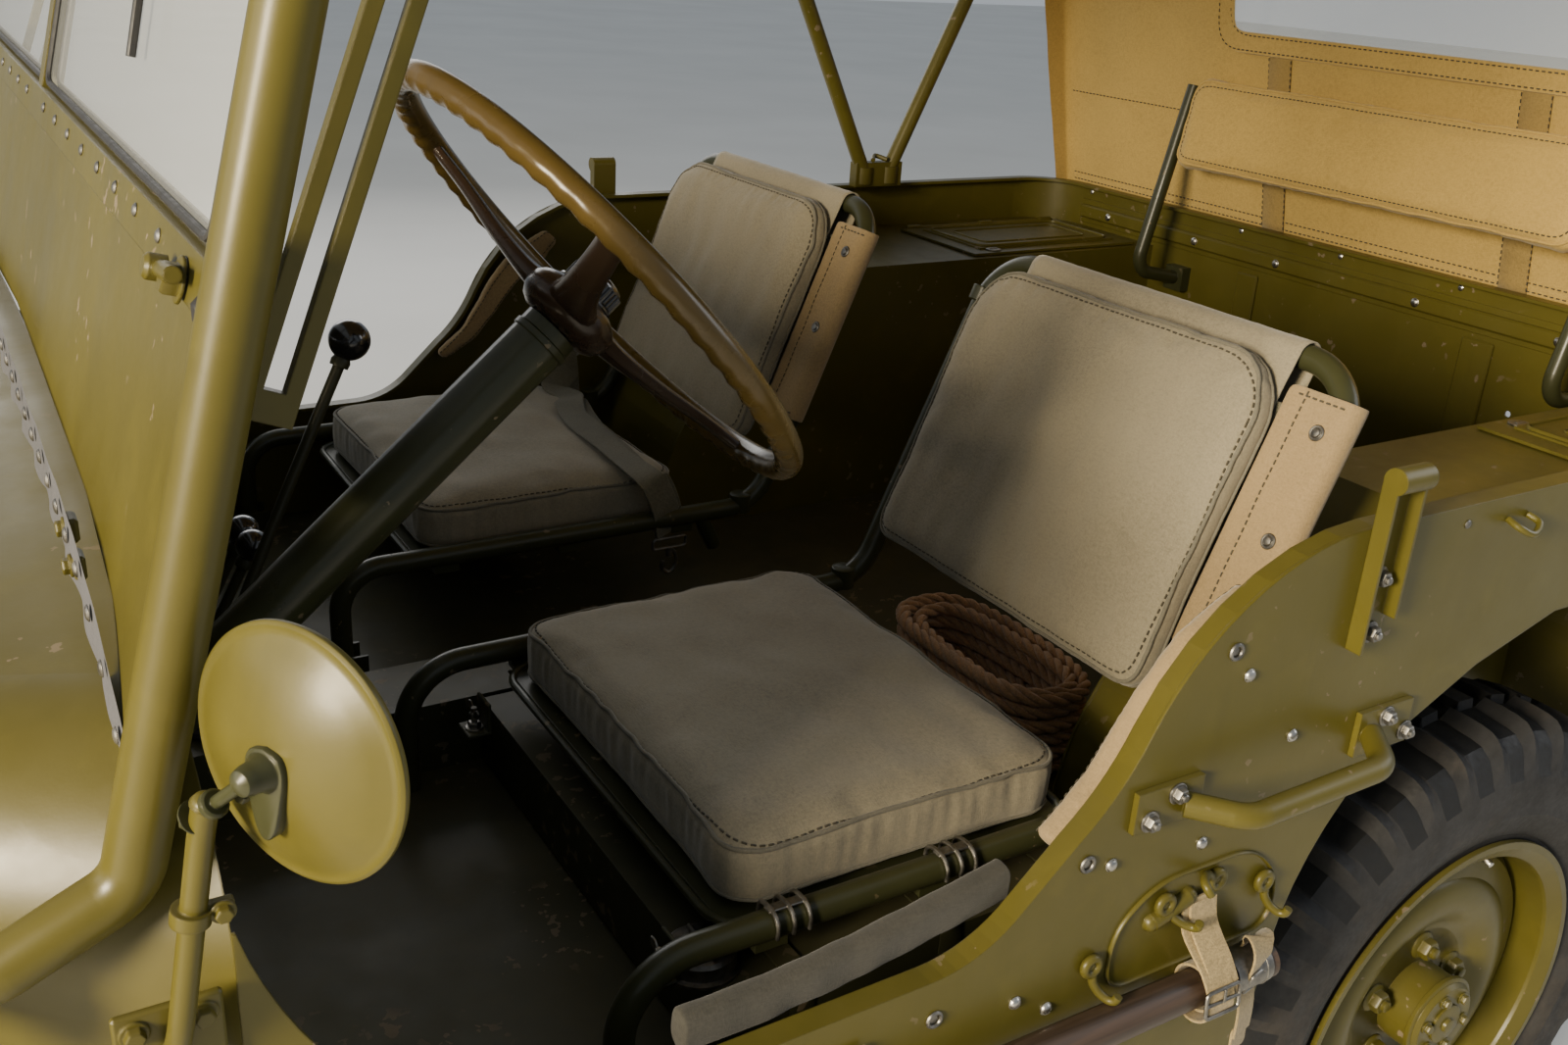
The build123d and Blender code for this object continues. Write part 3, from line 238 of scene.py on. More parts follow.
def plastic(name, c, rough=0.22, coat=0.4):
    n = Nodes(name)
    a = n.noise(34, 5, 0.6)
    col = n.mix(n.ramp(a, 0.35, 0.75), tint(c, 0.75), tint(c, 1.45))
    n.set(Base_Color=col, Roughness=n.ramp(n.noise(120, 3), 0.3, 0.7, rough - 0.06, rough + 0.12), Coat_Weight=coat, Coat_Roughness=0.12)
    n.set(Normal=n.bump(n.noise(230, 3), 0.07, 0.0004))
    return n.m


def rubber(name):
    n = Nodes(name)
    c = (0.022, 0.022, 0.023)
    a, b = n.noise(14, 6, 0.65), n.noise(160, 4, 0.6)
    col = n.mix(n.ramp(a, 0.35, 0.75), tint(c, 0.7), tint(c, 1.7))
    col = n.mix(n.ramp(n.noise(5.5, 7, 0.72), 0.50, 0.76, 0, 0.5), col, (0.090, 0.072, 0.050, 1))
    n.set(Base_Color=col, Roughness=n.ramp(b, 0.3, 0.7, 0.62, 0.84), Specular_IOR_Level=0.3)
    n.set(Normal=n.bump(n.math("ADD", b, n.math("MULTIPLY", n.noise(600, 2), 0.5)), 0.3, 0.0007))
    return n.m


def wood(name):
    n = Nodes(name)
    c = (0.036, 0.022, 0.014)
    g = n.noise(1.0, 7, 0.65, n.scaled((3, 90, 90)), 0.6)
    col = n.mix(n.ramp(g, 0.3, 0.72), tint(c, 0.5), tint(c, 1.8))
    col = n.mix(n.ramp(n.noise(8, 5), 0.5, 0.75, 0, 0.5), col, (0.035, 0.022, 0.013, 1))
    n.set(Base_Color=col, Roughness=n.ramp(g, 0.3, 0.7, 0.36, 0.6), Coat_Weight=0.15)
    n.set(Normal=n.bump(g, 0.25, 0.0006))
    return n.m


def glass(name, c=(0.93, 0.965, 0.95), alpha=0.16):
    n = Nodes(name)
    smear = n.noise(3.4, 6, 0.7, n.scaled((1.0, 1.0, 2.6)))
    n.set(Base_Color=n.mix(n.ramp(smear, 0.4, 0.8, 0, 0.5), (*c, 1), (0.80, 0.82, 0.78, 1)), Roughness=n.ramp(smear, 0.35, 0.8, 0.015, 0.12),
          IOR=1.45, Alpha=alpha, Specular_IOR_Level=0.75)
    n.set(Normal=n.bump(n.noise(6, 2), 0.02, 0.001))
    n.m.surface_render_method = "BLENDED"
    return n.m


def web_cloth(name, c):
    """Woven strap: fine ribs along and across in the bump, worn and soiled in patches."""
    n = Nodes(name)
    x = n.noise(1.0, 2, 0.5, n.scaled((260, 900, 260), (0.2, 0.1, 0.1)))
    y = n.noise(1.0, 2, 0.5, n.scaled((900, 260, 700), (0.1, 0.3, 0.1)))
    k = n.math("ADD", n.math("MULTIPLY", x, 0.5), n.math("MULTIPLY", y, 0.5))
    col = n.mix(n.ramp(k, 0.38, 0.62), tint(c, 0.74), tint(c, 1.22))
    col = n.mix(n.ramp(n.noise(24, 6, 0.7), 0.46, 0.72, 0, 0.6), col, tint(c, 0.52))
    n.set(Base_Color=col, Roughness=0.90, Sheen_Weight=0.2, Sheen_Roughness=0.5)
    n.set(Normal=n.bump(k, 0.6, 0.0007))
    return n.m


def rope_mat(name, c):
    n = Nodes(name)
    f = n.noise(1.0, 5, 0.7, n.scaled((420, 420, 420)), 1.2)
    col = n.mix(n.ramp(f, 0.3, 0.72), tint(c, 0.45), tint(c, 1.55))
    col = n.mix(n.ramp(n.noise(14, 6, 0.65), 0.45, 0.78, 0, 0.55), col, tint(c, 0.5))
    n.set(Base_Color=col, Roughness=0.93, Sheen_Weight=0.3)
    n.set(Normal=n.bump(f, 0.8, 0.001))
    return n.m


OLIVE = (0.078, 0.067, 0.010)
M = {
    "olive": paint("olive_drab_paint", OLIVE, 0.37, 0.16, 0.0016, 0.25),
    "tube": paint("tube_paint", (0.032, 0.034, 0.014), 0.34, 0.06, 0.0010, 0.15),
    "dark": paint("dark_olive_paint", (0.028, 0.028, 0.012), 0.46, 0.25, 0.0014, 0.3),
    "casting": paint("painted_casting", (0.045, 0.044, 0.028), 0.58, 0.4, 0.002, 0.3, 0.35),
    "floor": paint("floor_paint", (0.036, 0.037, 0.015), 0.52, 0.45, 0.0012, 0.9),
    "canvas": cloth("top_canvas", (0.400, 0.275, 0.082), 1.25, 0.22, 0.84, 0.2, 0.30, 0.45),
    "canvas_dark": cloth("dark_webbing", (0.255, 0.178, 0.060), 1.2, 0.25, 0.88, 0.2, 0.4, 0.5, True),
    "seat": cloth("seat_canvas", (0.222, 0.196, 0.138), 1.15, 0.22, 0.88, 0.25, 0.35, 0.5),
    "tan": cloth("tan_canvas", (0.245, 0.178, 0.092), 1.15, 0.20, 0.86, 0.25, 0.30, 0.45),
    "piping": cloth("seam_cord", (0.135, 0.125, 0.095), 0.9, 0.25, 0.9, 0.2, 0.3, 0.4, True),
    "thread": cloth("dark_thread", (0.060, 0.052, 0.035), 0.6, 0.2, 0.9, 0.1, 0.2, 0.2, True),
    # sill cloth: a dark grey pad colour, darkened further as painted shade
    "sill": cloth("sill_cloth_painted_shade", (0.036, 0.035, 0.030), 1.3, 0.25, 0.9, 0.1, 0.4),
    "grey": cloth("grey_canvas", (0.066, 0.066, 0.074), 1.2, 0.25, 0.88, 0.2, 0.35, 0.45),
    "web": web_cloth("strap_webbing", (0.105, 0.098, 0.064)),
    "khaki": web_cloth("khaki_webbing", (0.30, 0.225, 0.105)),
    "steel": metal("bright_screw", (0.62, 0.60, 0.56), 0.30),
    "dull": metal("dull_steel", (0.27, 0.26, 0.24), 0.42),
    "black": plastic("black_knob", (0.012, 0.012, 0.014), 0.16, 0.6),
    "brown": paint("moulded_hub", (0.026, 0.016, 0.010), 0.24, 0.0, 0.0012),
    "rim": paint("rim_paint", (0.075, 0.050, 0.014), 0.26, 0.0, 0.0008),
    "seal": plastic("black_seal", (0.016, 0.016, 0.017), 0.55, 0.0),
    "rubber": rubber("tyre_rubber"),
    # near-black tread groove: painted shade in the recesses between the bars
    "groove": plastic("tread_groove_painted_shade", (0.0045, 0.0048, 0.0055), 0.6, 0.0),
    "wood": wood("ash_handle"),
    "glass": glass("window_glass"),
    "lens": glass("lamp_lens", (0.95, 0.96, 0.95), 0.34),
    "red": plastic("red_lens", (0.28, 0.012, 0.010), 0.14, 0.6),
    "mirror": metal("mirror_glass", (0.86, 0.88, 0.88), 0.10, 1.0, 12),
    "chrome": metal("reflector_metal", (0.80, 0.80, 0.78), 0.14, 1.0, 30),
    "dial": plastic("dial_face", (0.018, 0.018, 0.017), 0.4, 0.3),
    "white": plastic("dial_marks", (0.62, 0.60, 0.52), 0.5, 0.0),
    "rope": rope_mat("laid_rope", (0.400, 0.225, 0.105)),
}

node_mat = {
    "chassis_frame": "dark", "leaf_springs": "dark", "rear_axle": "casting", "front_axle": "casting",
    "steering_knuckle_left": "casting", "steering_knuckle_right": "casting", "tie_rod": "dark", "spare_wheel": "olive",
    "engine_block": "casting", "radiator": "dark", "prop_shafts": "dark", "exhaust": "casting", "fuel_tank": "floor",
    "body_tub": "olive", "floor_pan": "floor", "cowl": "olive", "hood": "olive", "grille": "olive", "headlamps": "olive",
    "front_fenders": "olive", "front_bumper": "olive", "rear_bumperettes": "olive", "tow_hook": "dark",
    "windscreen_frame": "olive", "windscreen_glass": "glass", "steering_column": "tube", "driver_controls": "dark",
    "driver_seat_frame": "tube", "passenger_seat_frame": "tube", "seat_brackets": "tube", "rear_seat_frame": "tube",
    "tool_lid_left": "olive", "tool_lid_right": "olive", "top_bows": "olive", "grab_handles": "olive", "side_mirror": "olive",
    "wheel_front_left": "olive", "wheel_front_right": "olive", "wheel_rear_left": "olive", "wheel_rear_right": "olive",
    "steering_wheel": "brown", "safety_strap": "web", "side_tools": "wood",
}
for name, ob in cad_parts.items():
    mat = M[node_mat.get(name, "olive")]
    if not ob.material_slots:
        ob.data.materials.append(mat)
    for s in ob.material_slots:
        s.material = mat

# ---------------------------------------------------------------- mesh helpers, all in mm


def frame_of(axis):
    a = Vector(axis).normalized()
    t = V(0, 0, 1) if abs(a.z) < 0.9 else V(1, 0, 0)
    u = t.cross(a).normalized()
    return a, u, a.cross(u)


class Geo:
    def __init__(self):
        self.v, self.f = [], []

    def add(self, vf, m=None):
        v, f = (vf.v, vf.f) if isinstance(vf, Geo) else vf
        n = len(self.v)
        self.v += [tuple(m @ Vector(p)) if m else tuple(p) for p in v]
        self.f += [tuple(i + n for i in q) for q in f]
        return self


def lathe(prof, o, axis, seg=24, closed=False):
    """Turned shape: rows of radius and distance along the axis."""
    a, u, w = frame_of(axis)
    o = Vector(o)
    v = [o + a * h + (u * cos(2 * pi * k / seg) + w * sin(2 * pi * k / seg)) * max(r, 1e-3) for r, h in prof for k in range(seg)]
    n = len(prof)
    f = []
    for i in range(n if closed else n - 1):
        j = (i + 1) % n
        for k in range(seg):
            l = (k + 1) % seg
            f.append((i * seg + k, i * seg + l, j * seg + l, j * seg + k))
    if not closed:
        f += [tuple(range(seg))[::-1], tuple((n - 1) * seg + k for k in range(seg))]
    return v, f


def curve(pts, n=8, closed=False):
    """Smooth run through points."""
    P = [Vector(p) for p in pts]
    m = len(P)
    out = []
    for i in range(m if closed else m - 1):
        g = (lambda k: P[k % m]) if closed else (lambda k: P[min(max(k, 0), m - 1)])
        a, b, c, d = g(i - 1), g(i), g(i + 1), g(i + 2)
        for k in range(n):
            t = k / n
            out.append(0.5 * ((2 * b) + (c - a) * t + (2 * a - 5 * b + 4 * c - d) * t * t + (3 * b - a - 3 * c + d) * t ** 3))
    if not closed:
        out.append(P[-1])
    return out


def rounded(pts, r, n=6, closed=False):
    """Straight runs with round corners."""
    P = [Vector(p) for p in pts]
    m = len(P)
    out = [] if closed else [P[0]]
    for i in (range(m) if closed else range(1, m - 1)):
        a, b, c = P[i - 1], P[i], P[(i + 1) % m]
        d1, d2 = (a - b), (c - b)
        l = min(r, d1.length * 0.48, d2.length * 0.48)
        s, e = b + d1.normalized() * l, b + d2.normalized() * l
        for k in range(n + 1):
            t = k / n
            out.append(s * (1 - t) ** 2 + b * 2 * t * (1 - t) + e * t * t)
    if not closed:
        out.append(P[-1])
    return out


def rings(pts, section, closed=False, caps=True, side=None):
    """Sweeps a section (a, b) along points; side fixes the section's first direction."""
    P = [Vector(p) for p in pts]
    n, m = len(P), len(section)
    tang = []
    for i in range(n):
        a = P[(i - 1) % n] if (closed or i > 0) else P[i]
        b = P[(i + 1) % n] if (closed or i < n - 1) else P[i]
        tang.append((b - a).normalized())
    v = []
    if side is None:
        ref = frame_of(tang[0])[1]
    for i in range(n):
        if side is None:
            ref = (ref - tang[i] * ref.dot(tang[i])).normalized()
            s = ref
        else:
            q = Vector(side[i]) if hasattr(side[0], "__len__") else Vector(side)
            s = (q - tang[i] * q.dot(tang[i])).normalized()
        t = tang[i].cross(s)
        v += [P[i] + s * a + t * b for a, b in section]
    f = []
    for i in range(n if closed else n - 1):
        j = (i + 1) % n
        for k in range(m):
            l = (k + 1) % m
            f.append((i * m + k, i * m + l, j * m + l, j * m + k))
    if caps and not closed:
        f += [tuple(range(m))[::-1], tuple((n - 1) * m + k for k in range(m))]
    return v, f


def circle(r, n=12, ry=None):
    return [(r * cos(2 * pi * k / n), (ry or r) * sin(2 * pi * k / n)) for k in range(n)]


def tube(pts, r, seg=12, closed=False):
    return rings(pts, circle(r, seg), closed)


def strap(pts, width, thick, side, closed=False):
    w, t = width / 2, thick / 2
    c = min(t * 0.7, 1.0)
    return rings(pts, [(-w + c, -t), (w - c, -t), (w, -t + c), (w, t - c), (w - c, t), (-w + c, t), (-w, t - c), (-w, -t + c)], closed, True, side)


def rbox(x0, x1, y0, y1, z0, z1, b=1.0):
    """Box with chamfered edges."""
    b = min(b, (x1 - x0) * 0.45, (y1 - y0) * 0.45, (z1 - z0) * 0.45)
    X, Y, Z = (x0, x1), (y0, y1), (z0, z1)
    v, idx = [], {}
    for i in (0, 1):
        for j in (0, 1):
            for k in (0, 1):
                s = (1 - 2 * i, 1 - 2 * j, 1 - 2 * k)
                p = (X[i], Y[j], Z[k])
                for ax in range(3):
                    q = [p[d] + (0 if d == ax else s[d] * b) for d in range(3)]
                    idx[(i, j, k, ax)] = len(v)
                    v.append(q)
    f = []
    for ax in range(3):
        o = [d for d in range(3) if d != ax]
        for e in (0, 1):
            quad = []
            for a, c in ((0, 0), (1, 0), (1, 1), (0, 1)):
                key = [0, 0, 0]
                key[ax], key[o[0]], key[o[1]] = e, a, c
                quad.append(idx[(*key, ax)])
            f.append(tuple(quad))
    for ax in range(3):                     # edge strips along ax
        o = [d for d in range(3) if d != ax]
        for a in (0, 1):
            for c in (0, 1):
                quad = []
                for e, face in ((0, o[0]), (1, o[0]), (1, o[1]), (0, o[1])):
                    key = [0, 0, 0]
                    key[ax], key[o[0]], key[o[1]] = e, a, c
                    quad.append(idx[(*key, face)])
                f.append(tuple(quad))
    for i in (0, 1):
        for j in (0, 1):
            for k in (0, 1):
                f.append((idx[(i, j, k, 0)], idx[(i, j, k, 1)], idx[(i, j, k, 2)]))
    return v, f


def prism(outline, place, depth, bevel=0.0, seg=2, holes=()):
    """Plate: outline (a, b) in the plane of place (origin, u, v), depth along u x v, edges rounded."""
    o, u, v = (Vector(q) for q in place)
    u, v = u.normalized(), v.normalized()
    nrm = u.cross(v)
    bm = bmesh.new()
    vs = [bm.verts.new(o + u * a + v * b) for a, b in outline]
    face = bm.faces.new(vs)
    ext = bmesh.ops.extrude_face_region(bm, geom=[face])
    for g in ext["geom"]:
        if isinstance(g, bmesh.types.BMVert):
            g.co += nrm * depth
    bm.normal_update()
    if bevel:
        es = [e for e in bm.edges if len(e.link_faces) == 2 and e.calc_face_angle(0) > 0.5]
        bmesh.ops.bevel(bm, geom=es, offset=bevel, segments=seg, affect="EDGES", profile=0.5, clamp_overlap=True)
    bm.verts.index_update()
    out = [tuple(q.co) for q in bm.verts], [tuple(q.index for q in f.verts) for f in bm.faces]
    bm.free()
    return out


def hexbolt(o, axis, af=13.0, h=6.0, washer=True, stub=0.0):
    g = Geo()
    r = af / 2 / cos(pi / 6)
    base = 0.0
    if washer:
        g.add(lathe([(af * 0.80, 0), (af * 0.80, 1.2), (af * 0.74, 1.7), (r * 0.6, 1.7)], o, axis, 20))
        base = 1.6
    g.add(lathe([(r, base), (r, base + h * 0.8), (r * 0.86, base + h), (r * 0.3, base + h)], o, axis, 6))
    if stub:
        g.add(lathe([(af * 0.3, base), (af * 0.3, base + h + stub), (af * 0.22, base + h + stub + 1)], o, axis, 12))
    return g


def dome(o, axis, r=5.0, h=3.2, seg=18):
    """Round-headed stud."""
    return lathe([(r * 1.12, 0), (r * 1.12, 0.6), (r, 0.9), (r * 0.93, h * 0.55), (r * 0.7, h * 0.85), (r * 0.35, h), (0, h * 1.02)], o, axis, seg)


def screw(o, axis, r=6.5, h=3.0, cup=True):
    """Screw in a cup washer."""
    g = Geo()
    if cup:
        g.add(lathe([(r * 1.25, 0), (r * 1.3, 0.8), (r * 1.15, 1.8), (r * 0.85, 1.5), (r * 0.8, 0.9)], o, axis, 22))
    g.add(lathe([(r * 0.82, 0.3), (r * 0.80, 1.6), (r * 0.66, h * 0.85), (r * 0.3, h), (0, h)], o, axis, 22))
    return g


def torus(o, axis, R, r, seg=28, ring=10):
    a, u, w = frame_of(axis)
    o = Vector(o)
    return tube([o + (u * cos(2 * pi * k / seg) + w * sin(2 * pi * k / seg)) * R for k in range(seg)], r, ring, True)


made = {}


def finish_mesh(ob, smooth=32, solid=0.0, subsurf=0):
    me = ob.data
    me.shade_smooth()
    if smooth:
        me.set_sharp_from_angle(angle=radians(smooth))


def make(name, parts, mat, body, smooth=32, weld=True):
    """One object out of several shapes in mm."""
    g = Geo()
    for p in (parts if isinstance(parts, list) else [parts]):
        g.add(p)
    me = bpy.data.meshes.new(name)
    me.from_pydata([tuple(W(p)) for p in g.v], [], g.f)
    bm = bmesh.new()
    bm.from_mesh(me)
    if weld:
        bmesh.ops.remove_doubles(bm, verts=bm.verts, dist=2e-6)
    bmesh.ops.dissolve_degenerate(bm, edges=bm.edges, dist=1e-7)
    bmesh.ops.recalc_face_normals(bm, faces=bm.faces)
    bm.to_mesh(me)
    bm.free()
    ob = bpy.data.objects.new(name, me)
    scene.collection.objects.link(ob)
    me.materials.append(M[mat])
    finish_mesh(ob, smooth)
    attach(ob, body)
    made[name] = ob
    return ob


CAR = "car_body"
fm = Nodes("studio_paper")
fm.set(Base_Color=fm.mix(fm.ramp(fm.noise(0.8, 4), 0.3, 0.7), (0.60, 0.60, 0.585, 1), (0.66, 0.66, 0.645, 1)), Roughness=0.78)
M["paper"] = fm.m
ground = bpy.data.meshes.new("studio_floor")
gv, gf = rbox(-26, 26, -26, 26, -0.05, 0, 0.001)
ground.from_pydata(gv, [], gf)
ground.materials.append(M["paper"])
floor = bpy.data.objects.new("studio_floor", ground)
scene.collection.objects.link(floor)


# ---------------------------------------------------------------- stuffed pieces
def bake(ob):
    me = bpy.data.meshes.new_from_object(ob.evaluated_get(bpy.context.evaluated_depsgraph_get()))
    ob.modifiers.clear()
    old = ob.data
    ob.data = me
    bpy.data.meshes.remove(old)
    return ob


def read(me):
    a = np.empty(len(me.vertices) * 3)
    me.vertices.foreach_get("co", a)
    return a.reshape(-1, 3)


def write(me, a):
    me.vertices.foreach_set("co", np.ascontiguousarray(a).ravel())
    me.update()


OFF = np.array([-896.0, 0, 7.0])


def stuffed(name, vf, mat, body, voxel=7.0, cap=8.0, pressure=4.0, shape=None, quality=4):
    """A pad: shell, voxel remesh, swelling by cloth pressure, then the shaping of what it rests on and its puckers."""
    v, f = (vf.v, vf.f) if isinstance(vf, Geo) else vf
    me = bpy.data.meshes.new(name)
    me.from_pydata([tuple(W(p)) for p in v], [], f)
    ob = bpy.data.objects.new(name, me)
    scene.collection.objects.link(ob)
    md = ob.modifiers.new("cells", "REMESH")
    md.mode, md.voxel_size = "VOXEL", voxel / 1000
    bake(ob)
    a = read(ob.data)
    md = ob.modifiers.new("swell", "CLOTH")
    md.settings.quality = quality
    md.settings.use_pressure = True
    md.settings.uniform_pressure_force = pressure
    md.settings.effector_weights.gravity = 0
    md.settings.tension_stiffness = md.settings.compression_stiffness = 12
    md.collision_settings.use_collision = False
    md.point_cache.frame_start, md.point_cache.frame_end = 1, 20
    for k in range(1, 21):
        scene.frame_set(k)
    bake(ob)
    scene.frame_set(1)
    b = read(ob.data)
    d = b - a
    l = np.linalg.norm(d, axis=1, keepdims=True) * 1000
    b = a + d * np.minimum(1, cap / np.maximum(l, 1e-6))
    write(ob.data, b)
    md = ob.modifiers.new("fine", "SUBSURF")
    md.levels = md.render_levels = 1
    bake(ob)
    if shape:
        p = read(ob.data) * 1000 - OFF
        nr = np.empty(len(ob.data.vertices) * 3)
        ob.data.vertices.foreach_get("normal", nr)
        write(ob.data, (shape(p, nr.reshape(-1, 3)) + OFF) / 1000)
    ob.data.materials.clear()
    ob.data.materials.append(M[mat])
    ob.data.shade_smooth()
    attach(ob, body)
    made[name] = ob
    return ob


def fuzz(p, scale, seed=0.0):
    """Smooth noise at many points."""
    q = p / scale + seed
    return np.array([noise.noise(Vector(x)) for x in q])


def tree(ob):
    bm = bmesh.new()
    bm.from_mesh(ob.data)
    t = BVHTree.FromBMesh(bm)
    bm.free()
    return t


def onto(t, pts, way, lift=0.0, reach=120.0):
    """Drops points (mm) on to a surface along a direction; lift is along the surface's normal."""
    out = []
    d = Vector(way).normalized()
    for p in pts:
        hit = t.ray_cast(W(p) - d * reach / 1000, d, reach * 3 / 1000)
        if hit[0] is None:
            hit = t.find_nearest(W(p))
        q = hit[0] + hit[1] * lift / 1000
        out.append((Vector(((q.x + 0.896) * 1000, q.y * 1000, (q.z - 0.007) * 1000)), hit[1].copy()))
    return out


def settle(t, pts, way, core, lift=0.0, drop=13.0):
    """Drops a closed run on to a pad; where a point would miss the face it is drawn in towards the core first."""
    d = Vector(way).normalized()
    got, nor = [], []
    for p in pts:
        p = Vector(p)
        e = core(p) - p
        e = e.normalized() if e.length > 1 else Vector((0, 0, 0))
        for k in range(30):
            q = p + e * (1.3 * k)
            hit = t.ray_cast(W(q) - d * 0.12, d, 0.36)
            if hit[0] is None:
                continue
            h = Vector(((hit[0].x + 0.896) * 1000, hit[0].y * 1000, (hit[0].z - 0.007) * 1000))
            if (h - p).dot(d) < drop and hit[1].dot(-d) > 0.5:
                break
        else:
            continue
        got.append(h)
        nor.append(hit[1].copy())
    m = len(got)
    for _ in range(3):
        got = [got[k] * 0.5 + (got[k - 1] + got[(k + 1) % m]) * 0.25 for k in range(m)]
    out = []
    for p, n in zip(got, nor):
        hit = t.find_nearest(W(p))
        h = Vector(((hit[0].x + 0.896) * 1000, hit[0].y * 1000, (hit[0].z - 0.007) * 1000))
        out.append((h + hit[1] * lift, hit[1].copy()))
    return out


def even(pts, step, closed=False):
    """The run again with evenly spaced points."""
    P = [Vector(p) for p in pts] + ([Vector(pts[0])] if closed else [])
    L = [0.0]
    for a, b in zip(P, P[1:]):
        L.append(L[-1] + (b - a).length)
    n = max(2, int(round(L[-1] / step)))
    out, j = [], 0
    for k in range(n + (0 if closed else 1)):
        s = L[-1] * k / n
        while j < len(L) - 2 and L[j + 1] < s:
            j += 1
        t = (s - L[j]) / max(L[j + 1] - L[j], 1e-9)
        out.append(P[j].lerp(P[j + 1], min(max(t, 0), 1)))
    return out


def inset_loop(x0, x1, y0, y1, r, n=7):
    out = []
    for cx, cy, a0 in ((x1 - r, y1 - r, 0), (x0 + r, y1 - r, 90), (x0 + r, y0 + r, 180), (x1 - r, y0 + r, 270)):
        for k in range(n + 1):
            a = radians(a0 + 90 * k / n)
            out.append((cx + r * cos(a), cy + r * sin(a)))
    return out


def stitches(line, length=4.6, gap=3.0, w=0.95, lift=0.35):
    """Thread laid along (point, normal) pairs."""
    g = Geo()
    pts = [p for p, _ in line]
    run = 0.0
    nxt = 0.0
    for i in range(len(line) - 1):
        seg = (pts[i + 1] - pts[i])
        L = seg.length
        if L < 1e-6:
            continue
        d = seg / L
        while nxt <= run + L:
            c = pts[i] + d * (nxt - run)
            nr = line[i][1]
            s = nr.cross(d).normalized()
            h = length / 2
            q = [c - d * h, c - d * h * 0.55 + nr * lift, c + d * h * 0.55 + nr * lift, c + d * h]
            v, f = rings(q, [(w * x, w * 0.55 * y) for x, y in ((1, 0), (0, 1), (-1, 0), (0, -1))], False, True, s)
            g.add((v, f))
            nxt += length + gap
        run += L
    return g


def seat_shape(x0, x1, y0, y1, z0, z1, crown=6.0, seed=0.0):
    """Flat on its pan, crowned on top, sides drawn in between the corners, puckered under the top seam."""
    def run(p, n):
        cx, cy = (x0 + x1) / 2, (y0 + y1) / 2
        a, b = (p[:, 0] - cx) / ((x1 - x0) / 2), (p[:, 1] - cy) / ((y1 - y0) / 2)
        top = np.clip((p[:, 2] - (z0 + z1) / 2) / ((z1 - z0) / 2), 0, 1)
        dome_ = (1 - np.clip(a * a, 0, 1)) * (1 - np.clip(b * b, 0, 1))
        p[:, 2] += crown * top * dome_ - 3.0 * top * np.exp(-((np.abs(a) - 0.98) ** 2 + (np.abs(b) - 0.98) ** 2) * 6)
        p[:, 0] -= np.sign(a) * 4.0 * np.clip(1 - b * b, 0, 1) * np.clip(np.abs(a) - 0.7, 0, 1) / 0.3
        p[:, 1] -= np.sign(b) * 4.0 * np.clip(1 - a * a, 0, 1) * np.clip(np.abs(b) - 0.7, 0, 1) / 0.3
        side = np.clip(1 - np.abs(n[:, 2]) * 1.4, 0, 1)
        under = np.exp(-np.clip(z1 - 9 - p[:, 2], 0, 99) / 20)
        k = fuzz(p * np.array([1, 1, 0.16]), 10.0, seed) * 2.3 * side * (0.35 + under)
        slow = fuzz(p, 95.0, seed + 5) * 4.0 + fuzz(p * np.array([1, 0.6, 1]), 34.0, seed + 9) * 2.4
        p += n * (k + slow * (0.35 + 0.65 * top))[:, None]
        rim = np.exp(-((np.maximum(np.abs(a) * 1.0, np.abs(b)) - 0.93) / 0.035) ** 2) * top * np.clip(n[:, 2], 0, 1)
        p[:, 2] -= 1.6 * rim * (0.6 + 1.2 * fuzz(p, 12.0, seed + 3))
        p[:, 2] = np.maximum(p[:, 2], z0)
        p[:, 0] = np.clip(p[:, 0], x0 - 1, x1 + 1)
        p[:, 1] = np.clip(p[:, 1], y0, y1)
        return p
    return run


def seat_cushion(name, body, dx, y0, y1, seed, x0=478.0, x1=850.0, z0=689.2, z1=755.0, mat="seat", voxel=7.0, rc=40, crown=6.0):
    e = 5.0
    x0, x1 = x0 + dx, x1 + dx
    ring = inset_loop(x0 + e, x1 - e, y0 + e, y1 - e, rc, 7)
    ob = stuffed(name, prism(ring, ((0, 0, z0 + 1), (1, 0, 0), (0, 1, 0)), z1 - z0 - 5, 12, 3), mat, body, voxel, 8.0, 4.0,
                 seat_shape(x0, x1, y0, y1, z0, z1, crown, seed))
    t = tree(ob)
    i = 12.5
    loop = even([(x, y, z1) for x, y in inset_loop(x0 + i, x1 - i, y0 + i, y1 - i, rc - 5, 9)], 6, True)


    def core(p):
        return V(min(max(p.x, x0 + 90), x1 - 90), min(max(p.y, y0 + 90), y1 - 90), z1)
    top = settle(t, loop, (0, 0, -1), core, 1.0)
    seam = make(name + "_seam", tube([p for p, _ in top], 2.1, 8, True), "piping", body, 0)
    i = 20.0
    loop = even([(x, y, z1) for x, y in inset_loop(x0 + i, x1 - i, y0 + i, y1 - i, rc - 11, 9)], 6, True)
    row = settle(t, loop, (0, 0, -1), core, 0.5)
    make(name + "_stitches", stitches(row + row[:1]), "thread", body, 0)
    low = []
    for x, y in inset_loop(x0 - 4, x1 + 4, y0 - 4, y1 + 4, rc + 4, 9):
        low.append((x, y, z0 + 9))
    pts = []
    hx, hy = (x1 - x0) / 2 - rc, (y1 - y0) / 2 - rc
    for p in even(low, 6, True):
        core = V(min(max(p.x, (x0 + x1) / 2 - hx), (x0 + x1) / 2 + hx), min(max(p.y, (y0 + y1) / 2 - hy), (y0 + y1) / 2 + hy), p.z)
        (q, _), = onto(t, [p], core - p, 0.6, 20)
        pts.append(V(q.x, q.y, z0 + 9))
    make(name + "_lower_seam", tube(pts, 1.8, 8, True), "piping", body, 0)
    return ob, t


